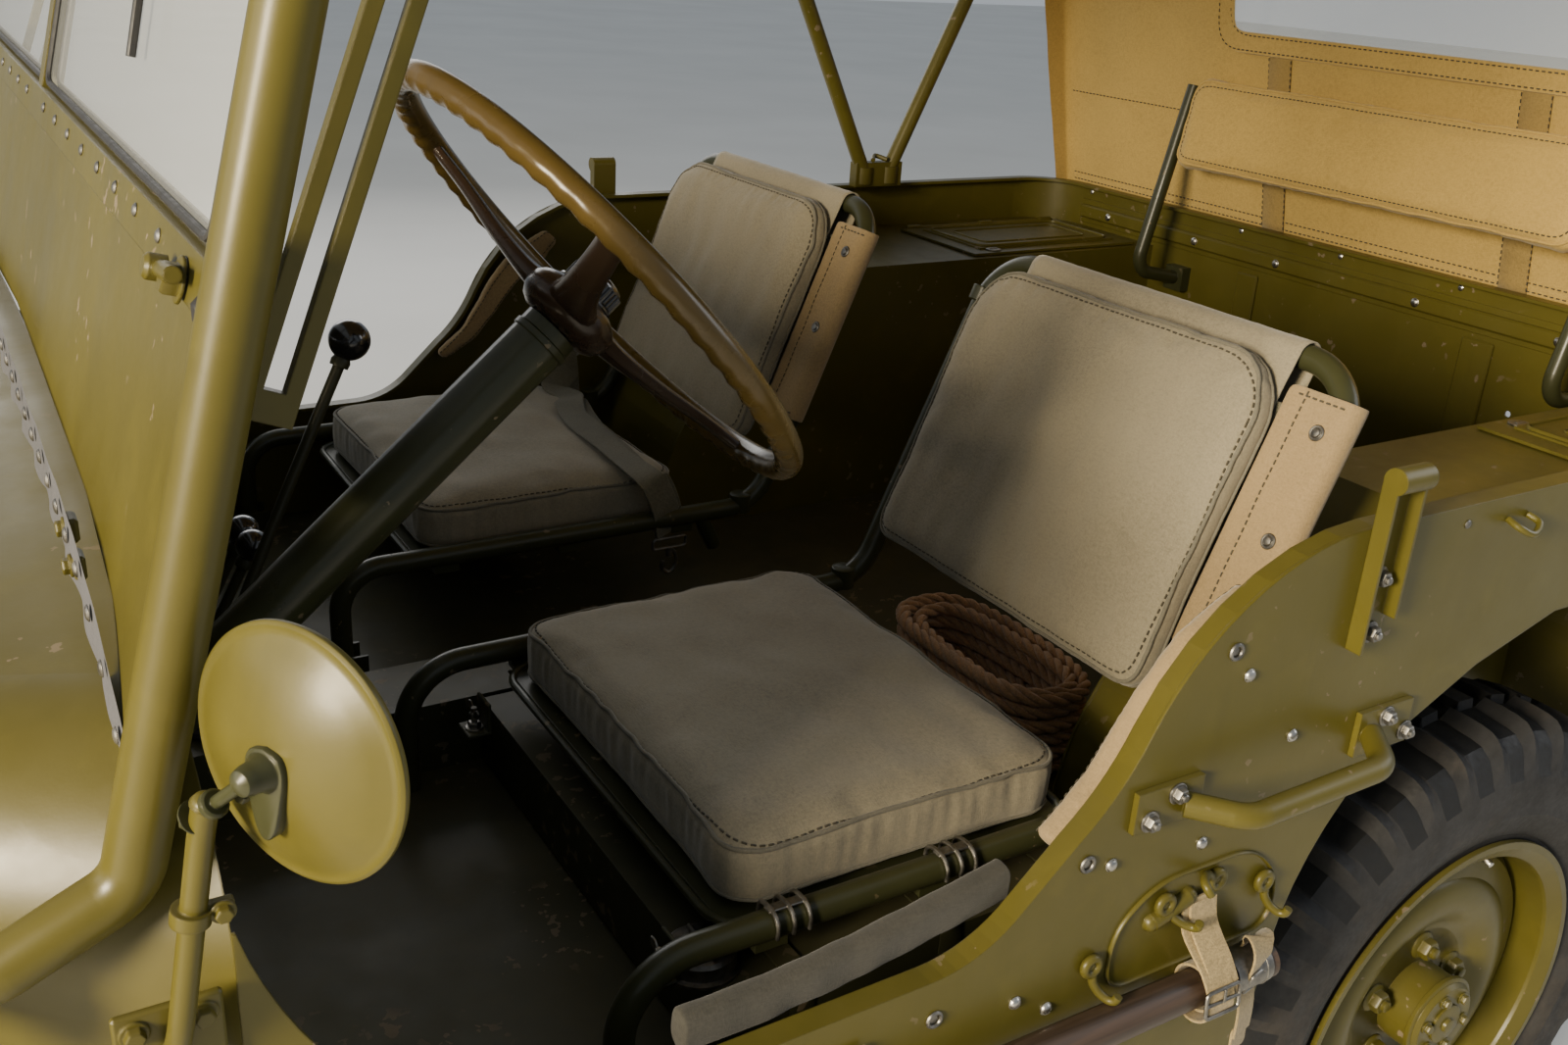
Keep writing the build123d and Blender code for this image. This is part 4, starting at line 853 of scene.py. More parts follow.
BU, BV, BN = V(0, 1, 0), V(-0.38247, 0, 0.92397), V(0.92397, 0, 0.38247)


def back_at(a, b, c, dx=0.0):
    return V(405 + dx, 0, 772) + BU * a + BV * b + BN * c


def back_outline(y0, y1, L, r_top, r_low, e=0.0, n=7):
    y0, y1, b0, b1 = y0 + e, y1 - e, e, L - e
    out = []
    for cy, cb, a0, r in ((y1 - r_top, b1 - r_top, 0, r_top), (y0 + r_top, b1 - r_top, 90, r_top), (y0 + r_low, b0 + r_low, 180, r_low), (y1 - r_low, b0 + r_low, 270, r_low)):
        for k in range(n + 1):
            t = radians(a0 + 90 * k / n)
            out.append((cy + r * cos(t), cb + r * sin(t)))
    return out


def back_shape(y0, y1, L, T, dx, seed):
    o = np.array([405.0 + dx, 0, 772])
    bv, bn = np.array(BV), np.array(BN)

    def run(p, n):
        a = (p[:, 1] - (y0 + y1) / 2) / ((y1 - y0) / 2)
        bb = (p - o) @ bv
        c = (p - o) @ bn
        b = (bb - L / 2) / (L / 2)
        front = np.clip((c + T / 2) / (T / 2), 0, 1.2)
        face = n @ bn
        dome_ = (1 - np.clip(a * a, 0, 1)) * (1 - np.clip(b * b, 0, 1))
        p += bn * (5.0 * front * dome_)[:, None]
        p[:, 1] -= np.sign(a) * 4.5 * np.clip(1 - b * b, 0, 1) * np.clip(np.abs(a) - 0.72, 0, 1) / 0.28
        side = np.clip(1 - np.abs(face) * 1.3, 0, 1)
        k = fuzz(p * np.array([0.35, 1, 0.35]), 9.0, seed) * 1.5 * side
        slow = fuzz(p, 90.0, seed + 5) * 4.0 + fuzz(p * np.array([0.6, 1, 0.4]), 30.0, seed + 9) * 2.4
        p += n * (k + slow * (0.3 + 0.7 * np.clip(front, 0, 1)))[:, None]
        near_top = np.exp(-((L - bb - 26) / 9.0) ** 2) * np.clip(face, 0, 1)
        p -= bn * (near_top * (1.3 + 2.2 * fuzz(p * np.array([0.3, 1, 0.3]), 9.0, seed + 2)))[:, None]
        c = (p - o) @ bn
        p += bn * (np.clip(-T + 0.3 - c, 0, 30))[:, None]
        p[:, 1] = np.clip(p[:, 1], y0, y1)
        return p
    return run


def back_cushion(name, body, dx, y0, y1, seed, voxel=7.0, mat="seat"):
    L, T = 358.2, 34.0
    ring = back_outline(y0, y1, L, 72, 26, 4.5)
    ob = stuffed(name, prism(ring, (back_at(0, 0, -T + 0.5, dx), BU, BV), T - 4, 9, 3), mat, body, voxel, 7.0, 4.0, back_shape(y0, y1, L, T, dx, seed))
    t = tree(ob)

    def lay(e, rt_, rl, step=6):
        q = [back_at(a, b, 0, dx) for a, b in back_outline(y0, y1, L, rt_, rl, e, 10)]
        return even(q, step, True)

    def core(p):
        rel = p - back_at(0, 0, 0, dx)
        return back_at(min(max(rel.dot(BU), y0 + 90), y1 - 90), min(max(rel.dot(BV), 80), L - 80), 0, dx)
    top = settle(t, lay(13, 60, 16), -BN, core, 0.9)
    make(name + "_seam", tube([p for p, _ in top], 2.1, 8, True), "piping", body, 0)
    row = settle(t, lay(20, 53, 12), -BN, core, 0.5)
    make(name + "_stitches", stitches(row + row[:1]), "thread", body, 0)
    rear = [back_at(a, b, -T + 8, dx) for a, b in back_outline(y0 - 3, y1 + 3, L + 0, 76, 26, -3, 9)]
    pts = []
    for p in even(rear, 6, True):
        rel = p - back_at(0, 0, 0, dx)
        pa, pb, pc = rel.dot(BU), rel.dot(BV), rel.dot(BN)
        core = back_at(min(max(pa, y0 + 80), y1 - 80), min(max(pb, 40), L - 80), pc, dx)
        (q, _), = onto(t, [p], core - p, 0.6, 20)
        pts.append(q)
    make(name + "_rear_seam", tube(pts, 1.7, 8, True), "piping", body, 0)
    return ob, t


driver_seat, t_ds = seat_cushion("driver_seat_pad", CAR, 0, 87.5, 576.5, 1.3)
driver_back, t_db = back_cushion("driver_back_pad", CAR, 0, 96, 548, 4.1)
passenger_seat_pad, t_ps = seat_cushion("passenger_seat_pad", "passenger_seat", -4, -666.5, -202.5, 7.7, voxel=8.0)
passenger_back, t_pb = back_cushion("passenger_back_pad", "passenger_seat", -4, -665, -226, 11.9, voxel=8.0)
bench, t_bs = seat_cushion("rear_bench_pad", "rear_seat", 0, -408, 408, 15.2, -446, -118, 714, 775, "seat", 10.5, 36, 8.0)
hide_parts("driver_cushions")
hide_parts("passenger_cushions")
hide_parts("rear_seat_cushion")

# rear back rest: a leaning pad between x -540 and -467
RV = V(-35, 0, 154).normalized()
RN = V(RV.z, 0, -RV.x)


def rear_shape(p, n):
    o, rv, rn = np.array([-467.0, 0, 1098]), np.array(RV), np.array(RN)
    a = p[:, 1] / 360
    bb, c = (p - o) @ rv, (p - o) @ rn
    b = (bb - 79) / 79
    front = np.clip((c + 19) / 19, 0, 1.2)
    p += rn * (4.5 * front * (1 - np.clip(a * a, 0, 1)) * (1 - np.clip(b * b, 0, 1)))[:, None]
    face = n @ rn
    side = np.clip(1 - np.abs(face) * 1.3, 0, 1)
    p += n * (fuzz(p * np.array([0.3, 1, 0.3]), 10.0, 3.3) * 1.6 * side + (fuzz(p, 80.0, 21.0) * 3.0 + fuzz(p, 30.0, 23.0) * 1.6) * np.clip(front, 0.3, 1))[:, None]
    row = np.exp(-((158 - bb - 24) / 8.0) ** 2) * np.clip(face, 0, 1)
    p -= rn * (row * (1.2 + 1.4 * fuzz(p * np.array([0.3, 1, 0.3]), 8.0, 2.0)))[:, None]
    c = (p - o) @ rn
    p -= rn * np.clip(c - 3, 0, 20)[:, None]
    p += rn * np.clip(-37.5 - c, 0, 20)[:, None]
    p[:, 1] = np.clip(p[:, 1], -360, 360)
    return p


def rear_at(a, b, c):
    return V(-467, 0, 1098) + BU * a + RV * b + RN * c


ring = back_outline(-360, 360, 158, 30, 24, 4.5)
rear_back = stuffed("rear_back_pad", prism(ring, (rear_at(0, 0, -36.5), BU, RV), 33, 10, 3), "canvas", CAR, 8.5, 6.0, 4.0, rear_shape)
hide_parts("rear_back_cushion")
t_rb = tree(rear_back)
for e, r, nm in ((14, 24, "seam"), (22, 18, "stitches")):
    q = even([rear_at(a, b, 0) for a, b in back_outline(-360, 360, 158, r, r, e, 8)], 6, True)
    q = settle(t_rb, q, -RN, lambda p: rear_at(min(max((p - rear_at(0, 0, 0)).dot(BU), -300), 300), 79, 0), 0.8 if nm == "seam" else 0.4, 14)
    make("rear_back_" + nm, tube([p for p, _ in q], 1.8, 8, True) if nm == "seam" else stitches(q + q[:1]), "canvas" if nm == "seam" else "thread", CAR, 0)

# ---------------------------------------------------------------- outboard flap of each back rest, with its two screws


def flap(name, body, dx, edge, bar, sign, screws):
    """Strip of tan canvas from the pad's rear seam round the frame tube, held by two screws."""
    g = Geo()
    n = 19
    cols = 0
    for k in range(n):
        b = 66 + 268 * k / (n - 1)
        q = 1.3 * sin(k * 1.3) + 0.9 * sin(k * 0.6 + 1)
        row = [back_at(edge - sign * 16, b, -32.5, dx), back_at(edge - sign * 2, b, -32.5, dx), back_at(edge + sign * 14, b, -32.5 + q * 0.7, dx),
               back_at(edge + sign * 30, b, -33 + q * 0.5, dx), back_at(bar, b, -33.0, dx), back_at(bar + sign * 9, b, -35.5, dx), back_at(bar + sign * 14.6, b, -43, dx),
               back_at(bar + sign * 15, b, -52, dx), back_at(bar + sign * 8, b, -61.5, dx), back_at(bar - sign * 6, b, -63, dx)]
        cols = len(row)
        g.v += [tuple(p) for p in row]
    for i in range(n - 1):
        for j in range(cols - 1):
            g.f.append((i * cols + j, i * cols + j + 1, (i + 1) * cols + j + 1, (i + 1) * cols + j))
    ob = make(name, g, "tan", body, 0)
    md = ob.modifiers.new("thick", "SOLIDIFY")
    md.thickness, md.offset = 0.0018, 0
    md = ob.modifiers.new("fine", "SUBSURF")
    md.levels = md.render_levels = 2
    bake(ob)
    ob.data.shade_smooth()
    tt = tree(ob)
    hw = Geo()
    for a, b in screws:
        (p, nr), = onto(tt, [back_at(a, b, 0, dx)], -BN, 0.2)
        hw.add(screw(p, BN, 6.0, 3.6))
    make(name + "_screws", hw, "dull", body, 40)
    st = Geo()
    for e in (8, 260):
        q = onto(tt, even([back_at(edge, 66 + e, 0, dx), back_at(bar + sign * 8, 66 + e, 0, dx)], 5), -BN, 0.4)
        st.add(stitches(q))
    q = onto(tt, even([back_at(edge + sign * 6, 70, 0, dx), back_at(edge + sign * 6, 330, 0, dx)], 5), -BN, 0.4)
    st.add(stitches(q))
    make(name + "_stitches", st, "thread", body, 0)


def tube_cover(name, body, dx, y0, y1, seed):
    """Canvas laid over the top tube of the back frame and down behind the pad."""
    cb, cc_, r = 360.7, -53.1, 14.3
    prof = [(96, -66.6), (180, -66.6), (260, -67.0), (330, -67.4)]
    prof += [(cb + r * sin(radians(a)), cc_ - r * cos(radians(a))) for a in range(0, 181, 20)]
    prof += [(345, -38.0), (320, -36.6), (260, -35.6), (180, -35.4)]
    prof = [V(q.x, q.y, 0) for q in curve([V(p, q, 0) for p, q in prof], 3)]
    g = Geo()
    ys = np.linspace(y0, y1, 46)
    for y in ys:
        e = min(1.0, min(y - y0, y1 - y) / 30.0)
        for k, q in enumerate(prof):
            w_ = 0.9 * noise.noise(V(y / 16.0, q.x / 60.0, seed)) + 1.0 * noise.noise(V(y / 50.0, q.x / 90.0, seed + 4))
            out = 1 if q.y < -53 else -0.2
            g.v.append(tuple(back_at(y, q.x + (0.6 * w_ if q.x > 345 else 0), q.y - w_ * out * (0.5 if q.x > 345 else 1.2), dx)))
    m = len(prof)
    for i in range(len(ys) - 1):
        for k in range(m - 1):
            g.f.append((i * m + k, i * m + k + 1, (i + 1) * m + k + 1, (i + 1) * m + k))
    ob = make(name, g, "seat", body, 0)
    md = ob.modifiers.new("thick", "SOLIDIFY")
    md.thickness, md.offset = 0.0016, 1
    bake(ob)
    ob.data.shade_smooth()
    t = tree(ob)
    st = Geo()
    for b_ in (338, 326):
        q = onto(t, [back_at(y, b_, -120, dx) for y in np.linspace(y0 + 6, y1 - 6, 70)], BN, 0.4)
        st.add(stitches(q))
    for y in (y0 + 7, y1 - 7):
        q = onto(t, [back_at(y, b_, -120, dx) for b_ in np.linspace(100, 330, 40)], BN, 0.4)
        st.add(stitches(q))
    make(name + "_stitches", st, "thread", body, 0)


tube_cover("driver_back_cover", CAR, 0, 140, 524, 2.0)
tube_cover("passenger_back_cover", "passenger_seat", -4, -613, -256, 6.0)
flap("driver_back_flap", CAR, 0, 548, 592, 1, [(581, 298), (584, 192)])
flap("passenger_back_flap", "passenger_seat", -4, -226, -188, 1, [(-198, 298), (-196, 192)])

# ---------------------------------------------------------------- hip pads on the body's edge
PAD = [(470, 978), (523, 950), (560, 912), (590, 866), (612, 834), (650, 796), (638, 784), (598, 806), (560, 842), (520, 890), (478, 925), (452, 958)]


for nm, y0, y1, s in (("hip_pad_left", 690.0, 714.0, 1), ("hip_pad_right", -714.0, -699.6, -1)):
    e1 = [(q.x, q.y) for q in curve([V(x, z, 0) for x, z in PAD[:6]], 5)]
    e2 = [(q.x, q.y) for q in curve([V(x, z, 0) for x, z in PAD[6:]], 5)]
    ring = (e1 + e2)[::-1]
    T = y1 - y0

    def pad_shape(p, n, y0=y0, y1=y1):
        p += n * (fuzz(p, 26.0, y0) * 1.4 + fuzz(p, 9.0, y0 + 3) * 0.5)[:, None]
        p[:, 1] = np.clip(p[:, 1], y0, y1)
        return p
    ob = stuffed(nm, prism(ring, ((0, y1 - 1.5, 0), (1, 0, 0), (0, 0, 1)), T - 3, 4, 2), "tan", CAR, 4.0, 3.0, 3.0, pad_shape)
    if nm == "hip_pad_left":
        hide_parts("hip_pads")
    t = tree(ob)
    mid = [((PAD[i][0] + PAD[11 - i][0]) / 2, (PAD[i][1] + PAD[11 - i][1]) / 2) for i in range(6)]
    face = y0 if s > 0 else y1
    for k, f_ in enumerate((0.30, -0.30)):
        line = []
        for i in range(6):
            a, b = PAD[i], PAD[11 - i]
            line.append((mid[i][0] + (a[0] - mid[i][0]) * f_ * 2, face, mid[i][1] + (a[1] - mid[i][1]) * f_ * 2))
        q = onto(t, even(curve(line, 6), 5), (0, s, 0), 0.4)
        make(nm + "_stitch_%d" % k, stitches(q, 4.2, 2.6, 0.8), "thread", CAR, 0)

# ---------------------------------------------------------------- coiled rope behind the driver's seat
RR = 8.6
turns = []
N = 18
cx, cy = 300.0, 226.0
side_len = 64.0
rng = np.random.default_rng(5)
wob = rng.uniform(-1, 1, 64)


def turn_point(t, rad, half, z, seedk):
    """t in turns round a racetrack of end radius rad and half straight half."""
    a = (t % 1.0) * 2 * pi
    x, y = cos(a), sin(a)
    q = 1.4 * sin(2 * pi * t * 0.37 + seedk) + 0.9 * sin(2 * pi * t * 1.71 + seedk * 2)
    k = (abs(x) ** 3.2 + abs(y) ** 3.2) ** (-1 / 3.2)
    return (cx + (rad + q) * x * k, cy + (rad + half + q) * y * k, z)


pts = []
LAYERS = 6
for k in range(LAYERS * N):                       # outer wall, going up
    t = k / N
    z = 569.5 + 17.9 * min(t, LAYERS - 1) if k > 0 else 569.5
    pts.append(turn_point(t, 60.5, 74, z, 0.4))
top_z = 569.5 + 17.9 * (LAYERS - 1)
for k in range(1, N // 2):
    t = LAYERS + k / N
    u = k / (N // 2)
    pts.append(turn_point(t, 60.5 - 18.4 * u, 74, top_z + 3.0 * sin(pi * u), 0.4 + 2 * u))
for k in range((LAYERS - 1) * N + 1):             # inner wall, going down
    t = LAYERS + 0.5 + k / N
    z = top_z - 17.9 * k / N
    if z < 569.5:
        z = 569.5
    pts.append(turn_point(t, 42.1, 74, z, 2.4))


def nurbs(name, pts, order=3):
    cu = bpy.data.curves.new(name, "CURVE")
    cu.dimensions = "3D"
    sp = cu.splines.new("NURBS")
    sp.points.add(len(pts) - 1)
    for q, p in zip(sp.points, pts):
        q.co = (*W(p), 1)
    sp.order_u = order
    sp.use_endpoint_u = True
    sp.resolution_u = 6
    ob = bpy.data.objects.new(name, cu)
    scene.collection.objects.link(ob)
    return ob


def line_of(ob):
    me = bpy.data.meshes.new_from_object(ob.evaluated_get(bpy.context.evaluated_depsgraph_get()))
    P = [v.co.copy() for v in me.vertices]
    bpy.data.meshes.remove(me)
    return P


line_ob = nurbs("rope_line", pts)
bpy.context.view_layer.update()
P = line_of(line_ob)
bpy.data.objects.remove(line_ob)
P = [Vector(((p.x + 0.896) * 1000, p.y * 1000, (p.z - 0.007) * 1000)) for p in P]
P = even(P, 5.0)
tang = [(P[min(i + 1, len(P) - 1)] - P[max(i - 1, 0)]).normalized() for i in range(len(P))]
ref = frame_of(tang[0])[1]
lay_g = Geo()
axes = []
for t in tang:
    ref = (ref - t * ref.dot(t)).normalized()
    axes.append((ref.copy(), t.cross(ref)))
for s in range(3):
    q = []
    for i, p in enumerate(P):
        a = 2 * pi * (s / 3) + 2 * pi * (i * 5.0) / 58.0
        q.append(p + (axes[i][0] * cos(a) + axes[i][1] * sin(a)) * 4.35)
    lay_g.add(rings(q, circle(4.25, 8)))
rope = make("coiled_rope", lay_g, "rope", CAR, 0, weld=False)
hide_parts("rope_coil")
whip = Geo()
for i0, i1 in ((0, 5), (len(P) - 6, len(P) - 1)):
    whip.add(rings(P[i0:i1 + 1], circle(RR + 0.5, 14)))
make("rope_whipping", whip, "thread", CAR, 30)


# ---------------------------------------------------------------- tyres with bar tread, wheel nuts and hubs
TREAD = [(203.4, -54.5, 0), (208, -59, 0), (226, -62, 0), (229, -65, 0), (255, -74, 0), (258, -75.5, 0), (262, -75.5, 0), (265, -75, 0), (290, -78, 0),
         (302, -76.9, 0), (309, -76.2, 0.3), (318, -74.8, 0.75), (336, -69.5, 1), (346, -65, 1), (353, -59, 1), (358, -52, 1), (360.6, -40, 1), (361.8, -24, 1),
         (362, -8, 1), (362, -1.2, 1)]
PITCH = 38


def tyre(name, c, axis, side, node, body):
    """side +1 puts the listed outboard side along +axis."""
    a, u, w = frame_of(axis)
    c = Vector(c)
    rows = TREAD + [(r, -o, k) for r, o, k in TREAD[::-1]]
    half = len(TREAD)
    steps = (0.0, 0.045, 0.25, 0.46, 0.505, 0.75)
    g = Geo()
    for j in range(PITCH):
        for s in steps:
            th = 2 * pi * (j + s) / PITCH
            for i, (r, o, k) in enumerate(rows):
                left = i < half
                ph = (s + (0.0 if left else 0.5)) % 1.0
                lug = 1.0 if 0.04 <= ph <= 0.47 else 0.0
                cut = 12.0 * k
                if k == 1 and r < 350:
                    cut *= 0.85
                mid = abs(o) < 20
                rr = r - cut * (1 - lug) * (0.85 if mid else 1)
                oo = o * (1 - 0.020 * (1 - lug) * k) if r < 356 else o
                d = u * cos(th) + w * sin(th)
                g.v.append(tuple(c + d * rr + a * oo * side))
    n, m = len(rows), PITCH * len(steps)
    for j in range(m):
        q = (j + 1) % m
        for i in range(n):
            i2 = (i + 1) % n
            g.f.append((j * n + i, j * n + i2, q * n + i2, q * n + i))
    ob = make(name, g, "rubber", body, 26, False)
    # faces down in the grooves between the bars get the near-black second material: painted shade
    ob.data.materials.append(M["groove"])
    for q in ob.data.polygons:
        ids = [(v % n, v // n) for v in q.vertices]
        i0, j0 = min(i for i, _ in ids), min(j for _, j in ids)
        if max(i for i, _ in ids) - i0 > 1 or max(j for _, j in ids) - j0 > 1 or rows[i0][2] == 0 or rows[i0 + 1][2] == 0:
            continue
        ph = ((j0 % len(steps)) + (0 if i0 < half else 3)) % len(steps)
        if ph in (3, 4, 5):
            q.material_index = 1
    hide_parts(node)
    return ob


AX = 2032.0
for nm, x, s, body in (("front_left", AX, 1, "road_wheel_front_left"), ("front_right", AX, -1, "road_wheel_front_right"),
                       ("rear_left", 0, 1, "road_wheel_rear_left"), ("rear_right", 0, -1, "road_wheel_rear_right")):
    c = V(x, s * 626, 355)
    ax = V(0, s, 0)
    tyre("bar_tread_" + nm, c, ax, 1, "tyre_" + nm, body)
    g, st = Geo(), Geo()
    for k in range(5):
        a = radians(72 * k + 20)
        p = c + V(cos(a), 0, sin(a)) * 70 + ax * 30
        g.add(lathe([(17, 0), (17, 1.5), (13, 4)], p, ax, 20)).add(hexbolt(p + ax * 2, ax, 22, 13, False, 4))
    for k in range(6):
        a = radians(60 * k + 12)
        p = c + V(cos(a), 0, sin(a)) * 34 + ax * 79
        g.add(hexbolt(p, ax, 9.5, 5, True))
    g.add(lathe([(50, 66), (52.5, 67), (52.5, 72), (50, 73.5), (47, 73.5)], c, ax, 40))
    g.add(lathe([(24, 79), (24, 81.5), (20, 82.5), (9, 82.5), (8, 86), (4, 86.5)], c, ax, 24))
    g.add(lathe([(160, 30), (157, 36.5), (152, 40.6), (145, 44), (136, 46.2), (126, 46.4), (117, 44.0), (108, 39.4), (101, 34.4), (95, 31.4), (88, 30.2)], c, ax, 96))
    make("wheel_nuts_" + nm, g, "olive", body, 34)
    v = c + V(-0.35 * 190, 0, 0.93 * 190)
    st.add(tube([v + ax * 16, v + ax * 30, v + ax * 40 - V(-0.35, 0, 0.93) * 6], 3.4, 10)).add(lathe([(4.6, 0), (4.6, 9), (3.6, 11)], v + ax * 38 - V(-0.35, 0, 0.93) * 6, ax - V(-0.35, 0, 0.93) * 0.3, 12))
    make("valve_" + nm, st, "steel", body, 30)

tyre("bar_tread_spare", (-692, -300, 805), (-1, 0, 0), 1, "spare_tyre", CAR)
g = Geo()
for k in range(3):
    a = radians(120 * k + 90)
    p = V(-692, -300 + 70 * cos(a), 805 + 70 * sin(a)) + V(-30, 0, 0)
    g.add(hexbolt(p, (-1, 0, 0), 22, 14, True, 6))
g.add(lathe([(160, 30), (157, 36.5), (152, 40.6), (145, 44), (136, 46.2), (126, 46.4), (117, 44.0), (108, 39.4), (101, 34.4), (95, 31.4), (88, 30.2)], V(-692, -300, 805), V(-1, 0, 0), 96))
make("spare_wheel_nuts", g, "olive", CAR, 34)

# ---------------------------------------------------------------- studs, eyelets, hooks and bolts on the body sides
for s, tag in ((1, "left"), (-1, "right")):
    n = V(0, s, 0)
    y = 735.2 * s
    bright, dark = Geo(), Geo()
    for x, z in ((488, 917), (420, 846), (505, 768), (605, 779), (685, 678), (651, 659)):
        bright.add(dome((x, y, z), n, 5.2, 3.6))
    for x, z in ((509, 942), (631, 788), (764, 694)):
        dark.add(torus((x, y + s * 0.8, z), n, 6.0, 1.7, 24, 8)).add(lathe([(4.2, 0), (3.0, 0.4), (0, 0.5)], (x, y, z), n, 16))
    for x, z in ((359, 978), (355, 928)):
        dark.add(hexbolt((x, y + s * 3.2, z), n, 12, 7, True, 2))
    for x, z in ((552, 832), (578, 814), (307, 839), (277, 818)):
        dark.add(hexbolt((x, y + s * 5.9, z), n, 11.5, 6, True, 1.5))
    for x in range(-500, 400, 150):
        dark.add(dome((x, y, 1004), n, 3.4, 1.8, 14))
    make("side_studs_" + tag, bright, "steel", CAR, 34)
    make("side_bolts_" + tag, dark, "dull", CAR, 34)
    hooks = Geo()
    # forged hooks: a curled eye flat on the panel, a stem, and a tip that stands off it
    for x, z, a in ((539, 722, 2.3), (612, 688, 1.9), (482, 728, -0.5), (420, 706, 1.9)):
        o = V(x, y + s * 4.2, z)
        d = V(cos(a), 0, -sin(a))
        e = d.cross(n)
        hooks.add(torus(o, n, 7.2, 3.9, 24, 12)).add(dome((x, y, z), n, 6.2, 6.0, 16))
        q = [o + d * 8, o + d * 16 + e * 2 + n * 1, o + d * 25 + e * 1 + n * 5, o + d * 31 - e * 2 + n * 11, o + d * 31 - e * 5 + n * 16, o + d * 26 - e * 8 + n * 18]
        hooks.add(tube(curve(q, 5), 3.8, 12))
    make("strap_hooks_" + tag, hooks, "olive", CAR, 34)
    # pressed seat for a tool handle: a raised outline and an oval rib
    o = V(0, y, 0)
    loop = rounded([V(590, y, 652), V(590, y, 712), V(548, y, 744), V(440, y, 744), V(400, y, 706), V(400, y, 652)], 26, 6, True)
    emb = Geo().add(rings([p + n * 0.2 for p in loop], circle(3.0, 8, 1.6), True, True, n))
    rib = [V(548, y, 706), V(510, y, 719)]
    emb.add(tube([rib[0] + n * 0.5, rib[1] + n * 0.5], 8.0, 16))
    for e in rib:
        emb.add(dome(e - n * 0.5, n, 8.2, 7.5, 20))
    make("pressed_seat_" + tag, emb, "olive", CAR, 40)

# handle with khaki straps and buckles
d = V(1, 0, 0)
tool = Geo()
prof = []
for i in range(41):
    t = i / 40
    x = 422 + (1082 - 422) * t
    r = 15.2 + 1.6 * sin(t * pi) + (2.2 if t < 0.02 else 0) - 2.0 * max(0, (t - 0.86)) * 6
    prof.append((r, x))
tool.add(lathe([(11, 421)] + prof + [(11, 1083)], (0, 757, 640), d, 24))
handle = make("tool_handle", tool, "wood", CAR, 30)
fer = Geo().add(lathe([(16.6, 428), (18.2, 430), (18.2, 462), (17.2, 466), (17.0, 470)], (0, 757, 640), d, 28)).add(torus((437, 757, 640), d, 18.0, 1.0, 28, 8))
make("tool_ferrule", fer, "dull", CAR, 30)
blade = Geo()
rowsb = []
for i in range(13):
    t = i / 12
    for j in range(9):
        u_ = j / 8 * 2 - 1
        x = 1068 + 268 * t
        wdt = (22 + 34 * min(1, t * 5)) * (1 if t < 0.78 else sqrt(max(0.02, 1 - ((t - 0.78) / 0.225) ** 2)))
        zz = 642 + u_ * wdt
        yy = 751.5 + 4.5 * (u_ * u_) * min(1, t * 3) + 4.0 * (1 - min(1, t * 4))
        rowsb.append((x, yy, zz))
for i in range(12):
    for j in range(8):
        blade.f.append((i * 9 + j, i * 9 + j + 1, (i + 1) * 9 + j + 1, (i + 1) * 9 + j))
blade.v = rowsb
bl = make("shovel_blade", blade, "olive", CAR, 50)
md = bl.modifiers.new("thick", "SOLIDIFY")
md.thickness, md.offset = 0.0022, 0
md = bl.modifiers.new("fine", "SUBSURF")
md.levels = md.render_levels = 2
bake(bl)
bl.data.shade_smooth()
sock = Geo().add(lathe([(16.8, 1040), (17.6, 1042), (17.0, 1085), (12, 1120), (6, 1150)], (0, 755, 641), d, 24))
for xx in (1052, 1074):
    sock.add(dome((xx, 771.6, 641), (0, 1, 0), 4.2, 2.4, 14))
make("shovel_socket", sock, "olive", CAR, 34)
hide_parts("side_tools")


def band(o, axis, R, width, thick, a0, a1, seed, tail=None, n=26):
    """Webbing wound round a bar; the ends leave along tangents."""
    a, u, w = frame_of(axis)
    o = Vector(o)
    q = []
    for k in range(n + 1):
        t = a0 + (a1 - a0) * k / n
        rr = R + 0.8 * sin(t * 2.3 + seed)
        q.append(o + (u * cos(t) + w * sin(t)) * rr)
    if tail:
        q += [o + V(*p) for p in tail]
    return strap(curve(q, 2), width, thick, a)


kh = Geo()
kh.add(band((492, 757, 640), d, 19.5, 31, 2.4, 0, 2 * pi * 0.97, 0.4))
kh.add(strap(curve([(496, 741, 714), (496, 747, 692), (494, 766, 668), (492, 776, 650)], 5), 31, 2.4, d))
kh.add(strap(curve([(503, 739.5, 718), (503, 744, 690), (500, 768, 664), (498, 779, 642), (497, 777, 622), (496, 760, 612), (494, 744, 618)], 5), 30, 2.4, d))
kh.add(strap(curve([(478, 742, 606), (470, 752, 612), (459, 762, 622), (449, 770, 640), (444, 770, 660), (438, 758, 668), (436, 748, 652), (437, 752, 630), (440, 762, 600), (441, 764, 572)], 6), 29, 2.2, V(0.95, 0.25, 0.1)))
kh.add(band((840, 757, 640), d, 20.0, 31, 2.4, 0, 2 * pi * 0.97, 1.4))
kh.add(strap(curve([(843, 739, 700), (843, 746, 678), (842, 770, 660), (841, 779, 640), (841, 775, 618), (840, 758, 606), (840, 742, 604)], 5), 30, 2.4, d))
kh.add(prism(inset_loop(-14, 14, -12, 12, 5, 3), (V(441, 763, 566), V(0.95, 0.25, 0.1), V(0, -0.05, 1)), 2.2, 0.5, 1))
make("handle_straps", kh, "khaki", CAR, 30)
bk = Geo()
